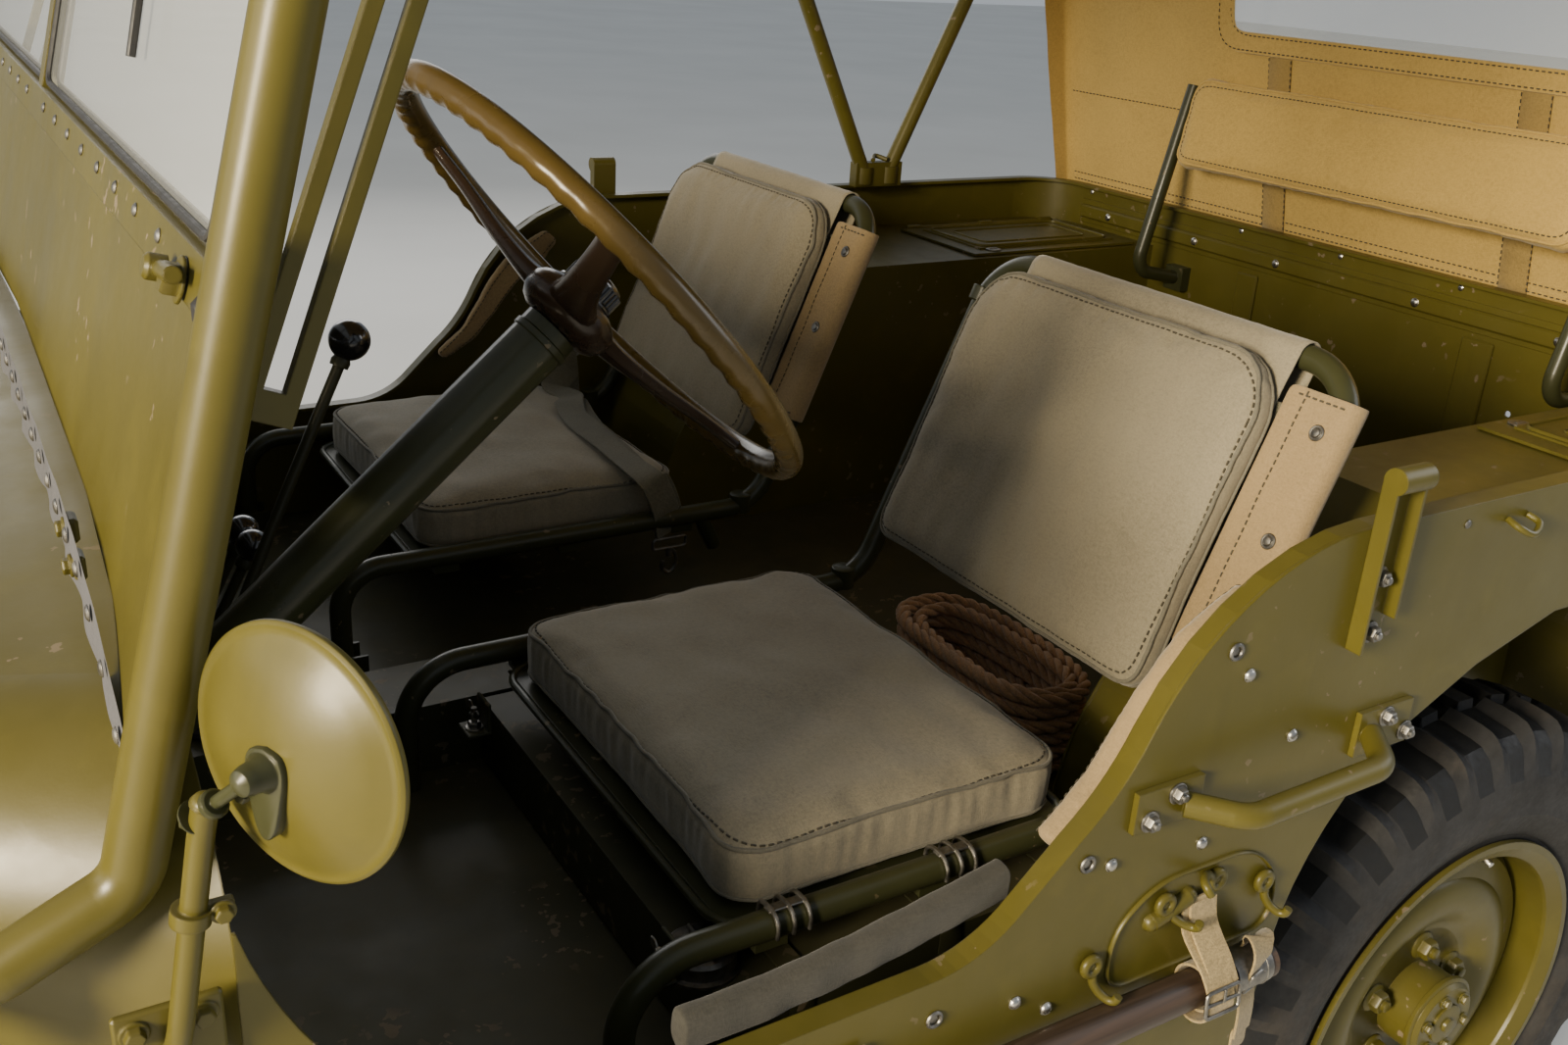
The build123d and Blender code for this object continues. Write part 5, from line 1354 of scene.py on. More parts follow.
for o, uu, vv in (((498, 781.0, 641), V(1, 0, 0), V(0, -0.1, 1)), ((441, 768.5, 634), V(0.95, 0.25, 0.1), V(0, 0.3, 1)), ((841, 781.0, 640), V(1, 0, 0), V(0, -0.1, 1))):
    o = V(*o)
    vv = vv.normalized()
    loop = [o + uu * x + vv * z for x, z in inset_loop(-19, 19, -12, 12, 4, 3)]
    bk.add(tube(loop, 1.7, 8, True)).add(tube([o + uu * -19, o + uu * 19], 1.6, 8)).add(tube([o + V(0, 1.5, 0), o + vv * 12 + V(0, 2, 0)], 1.3, 8))
make("strap_buckles", bk, "dull", CAR, 40)

# ---------------------------------------------------------------- steering wheel
wc = V(852, 324, 1155)
nu = V(-0.7538, 0, 0.6571).normalized()
wx = V(0, 1, 0)
wy = nu.cross(wx)
g = Geo()
R = 211.0
seg, ringn = 240, 18
for k in range(seg):
    t = 2 * pi * k / seg
    d_ = wx * cos(t) + wy * sin(t)
    grip = 0.5 - 0.5 * cos(t * 60)
    for i in range(ringn):
        a = 2 * pi * i / ringn
        r = 11.8 - 1.7 * grip * max(0, -sin(a)) ** 1.2
        g.v.append(tuple(wc + d_ * (R + r * cos(a) * 0.96) + nu * (r * sin(a))))
for k in range(seg):
    for i in range(ringn):
        j, l = (i + 1) % ringn, (k + 1) % seg
        g.f.append((k * ringn + i, k * ringn + j, l * ringn + j, l * ringn + i))
sw = make("steering_wheel_rim", g, "rim", "hand_wheel", 38)
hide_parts("steering_wheel")
g = Geo()
for k in range(3):
    t = radians(90 + 120 * k)
    d_ = wx * cos(t) + wy * sin(t)
    sd = nu.cross(d_)
    path = curve([wc + d_ * 16 - nu * 30, wc + d_ * 50 - nu * 29, wc + d_ * 100 - nu * 21, wc + d_ * 160 - nu * 8, wc + d_ * 206], 6)
    v, f, m = [], [], 14
    for i, p in enumerate(path):
        q = i / (len(path) - 1)
        wd = 11.5 + 17.0 * (1 - q) ** 2.4 + 5.0 * max(0, q - 0.86) * 7
        th = 5.6 + 6.4 * (1 - q) ** 2.0
        for j in range(m):
            a = 2 * pi * j / m
            cx_, cy_ = cos(a), sin(a)
            groove = 1.6 * np.exp(-(cx_ / 0.28) ** 2) * (1 if cy_ > 0 else 0)
            v.append(tuple(p + sd * (wd * np.sign(cx_) * abs(cx_) ** 0.7) + nu * (th * np.sign(cy_) * abs(cy_) ** 0.8 - groove)))
    for i in range(len(path) - 1):
        for j in range(m):
            l = (j + 1) % m
            f.append((i * m + j, i * m + l, (i + 1) * m + l, (i + 1) * m + j))
    g.add((v, f))
g.add(lathe([(24.2, -51), (31, -50), (37, -46.5), (41.5, -40), (43, -33), (41.5, -26), (37, -20.5), (30, -16.5), (24, -15), (16, -14.6)], wc, nu, 48))
make("steering_wheel_hub", g, "brown", "hand_wheel", 38)
hb = Geo().add(lathe([(23.2, -18), (23.2, -1), (22.4, 2.5), (20, 5.2), (15, 7.0), (8, 8.0), (0, 8.4)], wc, nu, 40)).add(torus(wc - nu * 14.5, nu, 25.0, 2.2, 40, 8))
for k in range(30):
    a = 2 * pi * k / 30
    p = wc + (wx * cos(a) + wy * sin(a)) * 23.1
    hb.add(tube([p - nu * 11, p + nu * 1.5], 1.5, 8))
make("horn_button", hb, "black", "hand_wheel", 40)
col = Geo()
ca, cb = wc - nu * 52, wc - nu * 694
for t_ in (62,):
    col.add(lathe([(24.3, t_), (25.6, t_ + 1.2), (25.6, t_ + 6), (24.3, t_ + 7.2)], wc, -nu, 36))
cl = wc - nu * 492
col.add(lathe([(24.4, -14), (26.5, -13), (26.5, 13), (24.4, 14)], cl, nu, 36)).add(rbox(cl.x - 6, cl.x + 6, cl.y - 52, cl.y - 24, cl.z - 10, cl.z + 10, 2)).add(rbox(cl.x - 6, cl.x + 6, cl.y + 24, cl.y + 52, cl.z - 10, cl.z + 10, 2))
for sgn in (-1, 1):
    col.add(hexbolt(cl + V(-6, sgn * 38, 0), (-1, 0, 0), 13, 7))
make("column_clamps", col, "tube", CAR, 34)

# ---------------------------------------------------------------- levers with round knobs, boots, pedals
rods, knobs, boots = Geo(), Geo(), Geo()


def lever(base, mid, tip, d, r):
    q = curve([V(*base), V(*mid), V(*tip)], 8)
    rods.add(tube(q, d / 2, 12))
    w_ = (Vector(tip) - Vector(mid)).normalized()
    c = Vector(tip) + w_ * (r * 0.8)
    knobs.add(lathe([(r * sin(a), -r * cos(a)) for a in [pi * k / 20 for k in range(1, 20)]], c, w_, 32))
    rods.add(lathe([(d * 0.8, -r - 8), (d * 0.85, -r - 2), (d * 0.7, -r + 2)], c, w_, 16))


lever((1120, -15, 643), (1085, -20, 760), (960, -52, 1002), 12, 21)
for y in (-72.0, -114.0):
    lever((1150, y, 563), (1130, y, 660), (1066, y, 790), 11, 17)
boots.add(lathe([(46, 0), (45, 5), (34, 9), (36, 15), (26, 20), (27, 26), (18, 31), (18, 36), (9, 42)], (1121, -15, 641), V(-0.1, 0, 1), 32))
for y in (250.0, 390.0):
    rods.add(tube([(1330, y, 664), (1290, y, 700), (1214, y, 737)], 6.5, 12))
    rods.add(rbox(1204, 1214, y - 31, y + 31, 709, 767, 4))
    for k in range(5):
        boots.add(rbox(1201.4, 1204.5, y - 27, y + 27, 715 + k * 10.5, 720 + k * 10.5, 1))
lv = make("lever_rods", rods, "dark", CAR, 40)
kn = make("lever_knobs", knobs, "black", CAR, 40)
make("lever_boots", boots, "rubber", CAR, 40)
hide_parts("driver_controls")
ac = Geo().add(rbox(1280, 1286, 455, 505, 600, 690, 3)).add(tube([(1290, 480, 600), (1300, 480, 570)], 5, 10))
make("accelerator_pedal", ac, "dark", CAR, 40)

# ---------------------------------------------------------------- mirror
mc, mn = V(1206, 773, 1060), V(0.862, 0.503, 0.058).normalized()
g = Geo().add(lathe([(62.6, -3.0), (65.0, -3.2), (66.0, -1.6), (66.0, 0.6), (64.2, 2.0), (61.6, 1.6), (59, 2.6), (53, 6.2), (44, 10.4), (33, 14.2), (22, 17.0), (10, 18.8), (0, 19.2)], mc, mn, 96))
end = mc + mn * 30
arm = rounded([V(1272, 742, 882), V(1269, 753, 905), V(1250, 759.5, 1022), V(1247.6, 765, 1040)], 20, 6)
g.add(tube(arm, 6.5, 20)).add(dome(arm[-1], (arm[-1] - arm[-2]).normalized(), 6.6, 5.0, 20))
top = V(1248.0, 764.0, 1036)
dk_ = Geo()
pin = (end - top).normalized()
dk_.add(tube([top - pin * 17, end + pin * 3], 3.4, 12)).add(hexbolt(top - pin * 8, -pin, 11, 6, True)).add(lathe([(7.2, 0), (7.2, 3), (6, 4)], top + pin * 6.5, pin, 20))
dk_.add(lathe([(10.5, 16.0), (10.2, 22), (8.0, 26), (7.6, 31), (6.4, 35.0), (3.0, 37.4), (0, 38.0)], mc, mn, 28))
pear = [(0, 12), (9, 9), (12, 0), (10, -14), (6, -30), (0, -36), (-6, -30), (-10, -14), (-12, 0), (-9, 9)]
pu = V(0, 0, 1) - mn * mn.z
pu.normalize()
dk_.add(prism([(q_.x, q_.y) for q_ in curve([V(p_, q_, 0) for p_, q_ in pear] + [V(0, 12, 0)], 4)][:-1], (mc + mn * 14.0, pu.cross(mn), pu), 8.0, 1.5, 2))
dk_.add(hexbolt(mc + mn * 17.2 - pu * 18 - pu.cross(mn) * 16, mn, 7.5, 5, False))
make("mirror_bracket", dk_, "tube", CAR, 34)
for z, wd in ((975, 8),):
    t = (z - 905) / 125
    o = V(1269 - 19 * t, 753 + 6.2 * t, z)
    ad = V(-19, 6.2, 117).normalized()
    g.add(lathe([(6.6, -wd / 2), (9.8, -wd / 2), (9.8, wd / 2), (6.6, wd / 2)], o, ad, 28))
    g.add(rbox(o.x - 20, o.x - 6, o.y - 3.5, o.y + 3.5, o.z - 4.5, o.z + 4.5, 1)).add(hexbolt(o + V(-14, 3.5, 0), (0, 1, 0), 8, 4))
g.add(rbox(1246, 1299, 736.2, 741.6, 851, 914, 1.5))
for x, z in ((1256, 862), (1289, 862), (1256, 903), (1289, 903)):
    g.add(hexbolt((x, 741.4, z), (0, 1, 0), 9.5, 5))
mi = make("mirror_body", g, "olive", CAR, 34)
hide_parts("side_mirror")
make("mirror_face", lathe([(62.5, -2.6), (61, -3.4), (30, -3.9), (0.5, -4.0)], mc, mn, 64), "mirror", CAR, 50)

# ---------------------------------------------------------------- windscreen: seals, screws, catches, wiper, cowl curtain


def ws(z):
    return 1199 - 0.257 * (z - 1275)


wn = V(1, 0, 0.257).normalized()
wu = V(-0.257, 0, 1).normalized()
WS = "windscreen"
seal, strips, screws_, fit = Geo(), Geo(), Geo(), Geo()
for s in (-1, 1):
    loop = rounded([V(ws(z), s * y, z) for y, z in ((14, 1275), (659, 1275), (659, 1597), (14, 1597))], 14, 5, True)
    for e in (-1, 1):
        seal.add(tube([p + wn * (e * 4.2) for p in loop], 2.6, 8, True))
    for y in np.linspace(60, 640, 9):
        for z in (1259, 1615):
            screws_.add(dome(V(ws(z), s * y, z) + wn * 9.8, wn, 3.6, 2, 14)).add(dome(V(ws(z), s * y, z) - wn * 9.8, -wn, 3.6, 2, 14))
    for z in np.linspace(1300, 1580, 5):
        screws_.add(dome(V(ws(z), s * 681, z) + wn * 8.6, wn, 3.4, 1.8, 14))
    # catch on the ledge and clamp on the tube
    o = V(ws(1252), s * 640, 1252) + wn * 11
    fit.add(hexbolt(o, wn, 15, 8)).add(tube([o + wn * 6 - V(0, s * 22, 0), o + wn * 7 + V(0, s * 22, 6)], 4.5, 12)).add(lathe([(7, 0), (7, 9), (5, 11)], o + wn * 3 - V(0, s * 22, 0), wn, 16))
    # swivel block at the foot of the tube
    fit.add(lathe([(26, -9), (28, -7), (28, 7), (26, 9)], (1400, s * 712, 908), (0, 1, 0), 36)).add(hexbolt((1400, s * 721, 908), (0, s, 0), 22, 10))
    # wiper arm and blade
    w0 = V(ws(1612), s * 330, 1612) + wn * 14
    fit.add(lathe([(9, 0), (9, 12), (6, 15)], V(ws(1612), s * 330, 1612) + wn * 8, wn, 20))
    fit.add(tube([w0, w0 - wu * 120 + V(0, s * 18, 0), w0 - wu * 205 + V(0, s * 40, 0) - wn * 4], 2.2, 8))
    seal.add(strap([w0 - wu * 110 + V(0, s * 28, 0) - wn * 8, w0 - wu * 290 + V(0, s * 52, 0) - wn * 8], 5, 7, wn))
make("glass_seals", seal, "seal", WS, 40)
make("windscreen_screws", screws_, "dull", WS, 34)
make("windscreen_fittings", fit, "olive", WS, 34)
# black grommet blocks where the ledge meets the tube
blk = Geo()
for s in (-1, 1):
    blk.add(rbox(ws(1259) - 9, ws(1259) + 15, min(s * 672, s * 690), max(s * 672, s * 690), 1240, 1256, 4))
make("ledge_blocks", blk, "seal", WS, 40)

EDGE = [(-684, 972), (-660, 998), (-618, 1032), (-560, 1060), (-435, 1077), (0, 1092), (435, 1077), (560, 1060), (618, 1032), (660, 998), (684, 972)]
top_line = even(curve([V(1266.5, y, z) for y, z in EDGE], 8), 7)
g, m = Geo(), len(top_line)
for i, p in enumerate(top_line):
    t = (top_line[min(i + 1, m - 1)] - top_line[max(i - 1, 0)]).normalized()
    dn = V(0, t.z, -t.y)
    if dn.z > 0:
        dn = -dn
    sc = 2.4 * abs(sin(i * 0.62)) + 1.2 * noise.noise(V(i * 0.21, 0, 0))
    for j in range(7):
        q = j / 6
        wob = 1.7 * sin(i * 0.55 + j * 0.4) * q + 1.0 * noise.noise(V(i * 0.13, j * 0.5, 3))
        g.v.append(tuple(p + dn * (-5 + (39 + sc) * q) + V(1.2 + wob * 0.9 + 1.5 * q, 0, 0)))
for i in range(m - 1):
    for j in range(6):
        g.f.append((i * 7 + j, i * 7 + j + 1, (i + 1) * 7 + j + 1, (i + 1) * 7 + j))
cc = make("cowl_gap_curtain", g, "grey", WS, 0)
md = cc.modifiers.new("fine", "SUBSURF")
md.levels = md.render_levels = 1
bake(cc)
cc.data.shade_smooth()
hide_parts("cowl_curtain")
g = Geo()
for i in range(4, m - 4, 6):
    p = top_line[i]
    t = (top_line[i + 1] - top_line[i - 1]).normalized()
    dn = V(0, t.z, -t.y)
    if dn.z > 0:
        dn = -dn
    g.add(dome(p + dn * 5 + V(3.2, 0, 0), (1, 0, 0), 4.6, 2.2, 14))
make("curtain_rivets", g, "dull", WS, 34)
g = Geo()
for s in (-1, 1):
    for y, z in ((s * 452, 1060), (s * 493, 1052)):
        o = V(ws(z) + 6, y, z)
        g.add(rbox(o.x, o.x + 7, o.y - 9, o.y + 9, o.z - 8, o.z + 8, 2)).add(hexbolt(o + V(7, 0, 0), (1, 0, 0), 9, 4))
make("panel_catches", g, "olive", WS, 34)

# ---------------------------------------------------------------- canvas top, one sheet over both bows


def canvas_line():
    P = [(1086, 1655), (243, 1741), (-462, 1690), (-592, 1000)]
    rows = []
    for (x0, z0), (x1, z1), n, sag in ((P[0], P[1], 30, 13), (P[1], P[2], 26, 15), (P[2], P[3], 26, 0)):
        for k in range(n):
            t = k / n
            rows.append((x0 + (x1 - x0) * t, z0 + (z1 - z0) * t, sag * 4 * t * (1 - t), t, n))
    rows.append((P[3][0], P[3][1], 0, 1, 1))
    return rows


rows = canvas_line()
NR = len(rows)
cols = np.linspace(-1, 1, 61)
g = Geo()
HALF = 710.0
WIN = (330.0, 1300.0, 1500.0)


def drop_of(i):
    """How far the side hangs below the top line at row i: narrow at the front, a wing at the rear."""
    x, z, *_ = rows[i]
    if i <= 30:
        return 64 + 10 * (i / 30)
    if i <= 56:
        return 74
    t = (i - 56) / (NR - 1 - 56)
    return 74 * (1 - t) + 30 * t


for i, (x, z, sag, t, n) in enumerate(rows):
    for j, c in enumerate(cols):
        y = HALF * c
        e = 1 - abs(c)
        dip = sag * (1 - c * c) * 1.0 + sag * 0.25
        back = i >= 56
        fold = 1.6 * noise.noise(V(x / 170, y / 120, z / 190)) * 3 + 2.2 * noise.noise(V(x / 60, y / 75, z / 60 + 5))
        corner = 2.8 * sin(y / 19.0) * np.exp(-e / 0.10) * (0.4 + abs(noise.noise(V(x / 60, 1, z / 60))))
        if not back:
            g.v.append((x, y, z - dip + (fold + corner) * min(1, e * 12 + 0.2) * (0.4 if sag * t * (1 - t) < 0.4 else 1)))
        else:
            tt = (i - 56) / (NR - 1 - 56)
            belly = 9 * sin(pi * tt)
            g.v.append((x + belly * (1 - c * c) * 0.6 + fold * 1.3 * sin(pi * min(1, tt * 1.1)), y, z))
nc = len(cols)
for i in range(NR - 1):
    for j in range(nc - 1):
        ym, zm = HALF * (cols[j] + cols[j + 1]) / 2, (rows[i][1] + rows[i + 1][1]) / 2
        if i >= 56 and abs(ym) < WIN[0] and WIN[1] < zm < WIN[2]:
            continue
        g.f.append((i * nc + j, i * nc + j + 1, (i + 1) * nc + j + 1, (i + 1) * nc + j))
# side valances go on from the edge points of the same sheet
base = len(g.v)
K = 6
side_of = {}
for s in (-1, 1):
    jj = 0 if s < 0 else nc - 1
    for i in range(NR):
        prev = g.v[i * nc + jj]
        x, z = rows[i][0], rows[i][1]
        dd = drop_of(i)
        if i <= 56:
            dirv = V(0, 0, -1)
        else:
            tt = (i - 56) / (NR - 1 - 56)
            dirv = V(0.35 + 0.63 * min(1, tt * 4), 0, -0.93 + 0.85 * min(1, tt * 4)).normalized()
        ids = [i * nc + jj]
        for k in range(1, K + 1):
            q = k / K
            w_ = 1.2 * sin(x / 31.0 + z / 27.0) * q + 1.4 * noise.noise(V(x / 60, s, z / 60))
            p = V(prev[0], s * (HALF + 1.5) - s * abs(w_) * 0.8, prev[2]) + dirv * (dd * q)
            ids.append(len(g.v))
            g.v.append(tuple(p))
        side_of[(s, i)] = ids
    for i in range(NR - 1):
        a, b = side_of[(s, i)], side_of[(s, i + 1)]
        for k in range(K):
            g.f.append((a[k], a[k + 1], b[k + 1], b[k]))
top = make("canvas_top_sheet", g, "canvas", CAR, 0)
md = top.modifiers.new("fine", "SUBSURF")
md.levels = md.render_levels = 1
bake(top)
top.data.shade_smooth()
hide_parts("canvas_top")
t_top = tree(top)

cz = V(-130, 0, -690).normalized()


def curtain(y, z, out=0.0):
    """Point on the rear curtain's inside, at height z."""
    x = -462 - (1690 - z) * 130 / 690
    hit = t_top.ray_cast(W((x + 120, y, z)), V(-1, 0, 0), 0.3)
    if hit[0] is not None:
        x = (hit[0].x + 0.896) * 1000
    return V(x + 1.2 + out, y, z)


g = Geo()
for y in (-214, 214):
    for lo, hi in ((1012, 1296), (1504, 1676)):
        g.add(strap([curtain(y, z, 1.2) for z in np.linspace(lo, hi, 16)], 44, 1.6, V(0, 1, 0)))
        g.add(strap([curtain(y, z, -3.6) for z in np.linspace(lo, hi, 16)], 44, 1.4, V(0, 1, 0)))
make("curtain_strips", g, "canvas_dark", CAR, 0)
g, st = Geo(), Geo()
wl = rounded([V(0, y, z) for y, z in ((-330, 1300), (330, 1300), (330, 1500), (-330, 1500))], 40, 6, True)
wl = even([V(-462 - (1690 - p.z) * 130 / 690 + 4, p.y, p.z) for p in wl], 8, True)
hem = Geo()
for e in (-0.0,):
    hem.add(rings(wl, [(-15, -2.4), (15, -2.4), (16, 0), (15, 2.4), (-15, 2.4), (-16, 0)], True, True, [((p - V(p.x, 0, 1400)).normalized()) for p in wl]))
make("window_hem", hem, "canvas", CAR, 30)
for e in (-11, 11):
    q = []
    for p in wl:
        dd = (p - V(p.x, 0, 1400))
        dd = V(0, dd.y / 330, dd.z / 100)
        k = 1 + e / 330
        q.append((V(p.x + 3.0, p.y * (1 + e / 330), 1400 + (p.z - 1400) * (1 + e / 100)), V(1, 0, 0)))
    st.add(stitches(q, 5, 4))
for z in (1022, 1034):
    st.add(stitches([(curtain(y, z, 0.4), V(1, 0, 0)) for y in range(-690, 691, 10)], 5, 4))
for z in (1180,):
    st.add(stitches([(curtain(y, z, 0.4), V(1, 0, 0)) for y in range(-690, 691, 10)], 5, 4))
for y in (-236, -192, 192, 236):
    st.add(stitches([(curtain(y, z, 2.2), V(1, 0, 0)) for z in range(1015, 1295, 10)], 5, 4))
make("canvas_stitching", st, "thread", CAR, 0)
pane = rings([V(-462 - (1690 - z) * 130 / 690, 0, z) for z in (1296, 1504)], [(-336, -0.6), (336, -0.6), (336, 0.6), (-336, 0.6)], False, True, V(0, 1, 0))
make("rear_window_pane", pane, "glass", CAR, 30)
g = Geo()
for s in (-1, 1):
    for i in range(3, NR - 8, 9):
        ids = side_of[(s, i)]
        p = rows[i]
        g.add(dome((p[0] + (0 if i < 57 else 20), s * 712.4, p[1] - (40 if i < 57 else 4)), (0, s, 0), 5.5, 1.6, 16))
make("canvas_snaps", g, "dull", CAR, 34)

# ---------------------------------------------------------------- bow clamps, rear rail, tub details
g, sc = Geo(), Geo()
for s in (-1, 1):
    for x in (-160, -108):
        g.add(lathe([(12.7, -14), (16.5, -14), (16.5, 14), (12.7, 14)], (x, s * 700, 1040), (0, 0, 1), 24))
    g.add(hexbolt((-135, s * 713, 1042), (0, s, 0), 16, 9, True, 5)).add(tube(curve([V(-150, s * 690, 1066), V(-135, s * 706, 1071), V(-120, s * 690, 1066)], 6), 4, 10))
# hat-section rail on the inside of the rear panel
g.add(rbox(-567.2, -565.0, -640, 640, 952, 994, 0.6)).add(rbox(-566.0, -556.5, -636, 636, 961, 985, 3.2))
for y in (-348, -171, 90, 315, -560, 560):
    sc.add(dome((-556.3, y, 973), (1, 0, 0), 6.0, 3.2, 18))
for y in (-620, -470, -260, -60, 150, 380, 600):
    sc.add(dome((-566.4, y, 1008), (1, 0, 0), 4.0, 2.0, 14))
for y0, y1 in ((-249, -207), (172, 222), (-520, -478), (430, 470)):
    g.add(rbox(-567.2, -561.5, y0, y1, 600, 944, 3))
make("tub_fittings", g, "olive", CAR, 34)
make("tub_screws", sc, "steel", CAR, 34)

# lids: pressed panel, key slot, knuckles
for s, tag, body in ((1, "left", "left_lid"), (-1, "right", "right_lid")):
    g, dk = Geo(), Geo()
    loop = rounded([V(x, s * y, 953.2) for x, y in ((-498, 492), (-214, 492), (-214, 642), (-498, 642))], 20, 6, True)
    g.add(rings(loop, circle(3.6, 8, 1.6), True, True, V(0, 0, 1)))
    loop = rounded([V(x, s * y, 953.2) for x, y in ((-470, 520), (-244, 520), (-244, 614), (-470, 614))], 14, 6, True)
    g.add(rings(loop, circle(2.2, 8, 1.0), True, True, V(0, 0, 1)))
    dk.add(lathe([(13, 0), (13, 1.6), (11, 2.2), (0, 2.4)], (-230, s * 480, 950.4), (0, 0, 1), 28))
    dk.add(rbox(-238, -222, s * 480 - 2.2, s * 480 + 2.2, 952.4, 953.8, 0.5))
    for x in (-505, -365, -205):
        g.add(lathe([(4.6, -14), (4.8, -12), (4.8, 12), (4.6, 14)], (x, s * 672, 951), (1, 0, 0), 14))
    make("lid_pressing_" + tag, g, "olive", body, 34)
    make("lid_lock_" + tag, dk, "dull", body, 34)


# ---------------------------------------------------------------- safety strap on the passenger's seat
SB = "passenger_seat"


def on_pad(t, x, y, lift=2.4, z=830.0):
    (p, _), = onto(t, [(x, y, z)], (0, 0, -1), 0, 60)
    return V(p.x, p.y, p.z + lift)


pts = [V(466, -640, 838), V(470, -634, 806), V(477, -612, 776), on_pad(t_ps, 488, -580, 4.0), on_pad(t_ps, 505, -520, 2.6), on_pad(t_ps, 522, -455, 2.4),
       on_pad(t_ps, 535, -385, 2.4), on_pad(t_ps, 541, -310, 2.6), on_pad(t_ps, 540, -240, 2.6)]
pts += [V(535, -199.0, 753), V(527, -191.5, 741), V(517, -189.0, 712), V(511, -189, 680)]
line = curve(pts, 6)
side = []
for i, p in enumerate(line):
    t = (line[min(i + 1, len(line) - 1)] - line[max(i - 1, 0)]).normalized()
    k = i / (len(line) - 1)
    s = V(0, 0, 1).cross(t)
    s = s.normalized() if s.length > 0.05 else V(0, 1, 0)
    s = s if s.y > 0 else -s
    s = V(1, 0.25, 0).lerp(V(1, 0, 0), k)
    s = (s - t * s.dot(t)).normalized()
    side.append((s + V(0, 0, 0.30 * sin(k * 9.0) * max(0, 0.5 - k))).normalized())
g = Geo().add(strap(line, 44, 2.2, side))
q = [V(476, -606, 784), on_pad(t_ps, 486, -585, 8.6), on_pad(t_ps, 502, -545, 6.4), on_pad(t_ps, 520, -500, 6.6), on_pad(t_ps, 536, -452, 8.0), on_pad(t_ps, 545, -400, 9.0), on_pad(t_ps, 549, -340, 8.0), on_pad(t_ps, 548, -270, 7.0)]
q += [V(541, -196.0, 759), V(531, -185.0, 742), V(521, -181.0, 712), V(513, -185, 681)]
ln = curve(q, 6)
sd_ = []
for i in range(len(ln)):
    t = (ln[min(i + 1, len(ln) - 1)] - ln[max(i - 1, 0)]).normalized()
    s = V(1, 0.22, 0.10 * sin(i * 0.35))
    sd_.append((s - t * s.dot(t)).normalized())
g.add(strap(ln, 42, 2.0, sd_))
sp = make("seat_safety_strap", g, "web", SB, 30)
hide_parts("safety_strap")
g = Geo()
o = V(512, -187, 668)
g.add(tube([o + V(a, 0, b) for a, b in inset_loop(-24, 24, -10, 4, 4, 3)], 2.2, 8, True))
g.add(tube(curve([o + V(0, 0, -10), o + V(-9, 0, -20), o + V(-10, 0, -36), o + V(0, 0, -46), o + V(10, 0, -38), o + V(9, 0, -28)], 6), 2.8, 10))
g.add(lathe([(4.4, 0), (4.4, 12), (3, 13)], o + V(0, 0, -22), (0, 0, 1), 16))
g.add(tube([V(471, -632, 803) + V(a, 0.2 * b, b) for a, b in inset_loop(-25, 25, -9, 9, 3, 3)], 1.8, 8, True))
make("strap_hook", g, "dull", SB, 34)

# ---------------------------------------------------------------- seat trays, brackets and back straps
for tag, body, dx, ya, yb in (("driver", CAR, 0.0, 72.0, 592.0), ("passenger", SB, -4.0, -681.0, -188.0)):
    g, hw, wb = Geo(), Geo(), Geo()
    inner0, inner1 = ya + 16, yb - 16
    ring = [V(x + dx, y, 687.0) for x, y in inset_loop(479, 851, inner0, inner1, 40, 6)]
    g.add(tube(ring, 4.2, 10, True))
    g.add(rbox(486 + dx, 846 + dx, inner0 + 5, inner1 - 5, 684.6, 687.4, 1))
    for x in (548, 600, 720, 772):
        g.add(rbox(x + dx - 12, x + dx + 12, yb - 20, yb - 9, 692, 698, 1.5))
        hw.add(dome((x + dx, yb - 14, 697.4), (0, 0, 1), 4.2, 2.4, 14))
    # corner joint of the tube frame
    for y in (ya, yb):
        g.add(lathe([(12.6, -13), (14.4, -12), (14.4, 12), (12.6, 13)], (410 + dx, y, 706), (0, 0, 1), 24))
        for b in (40, 310):
            p = back_at(y, b, -47.6, dx)
            g.add(lathe([(12.6, -9), (14.0, -8), (14.0, 8), (12.6, 9)], p, BV, 24))
    for b, k in ((96, 0), (196, 1), (290, 2)):
        wb.add(strap([back_at(y, b, -38.0 - 1.2 * sin(pi * (y - ya) / (yb - ya)), dx) for y in np.linspace(ya + 6, yb - 6, 14)], 46, 2.2, BV))
    if tag == "driver":
        # spring clips that hold the cushion's edge down to the frame tube
        for xc in (806, 640):
            for k in (-15, 0, 15):
                cp = [V(xc + k, 592 - 17, 702), V(xc + k, 592 - 14, 712), V(xc + k, 592 - 4, 715.4), V(xc + k, 592 + 8, 713.5), V(xc + k, 592 + 15, 705), V(xc + k, 592 + 14, 695)]
                hw.add(tube(curve(cp, 4), 2.0, 8))
            hw.add(rbox(xc - 18, xc + 18, 592 - 5, 592 + 5, 712.8, 715.6, 0.8))
    make("seat_tray_" + tag, g, "tube", body, 34)
    make("seat_rivets_" + tag, hw, "dull", body, 34)
    make("back_webs_" + tag, wb, "web", body, 20)
g, hw = Geo(), Geo()
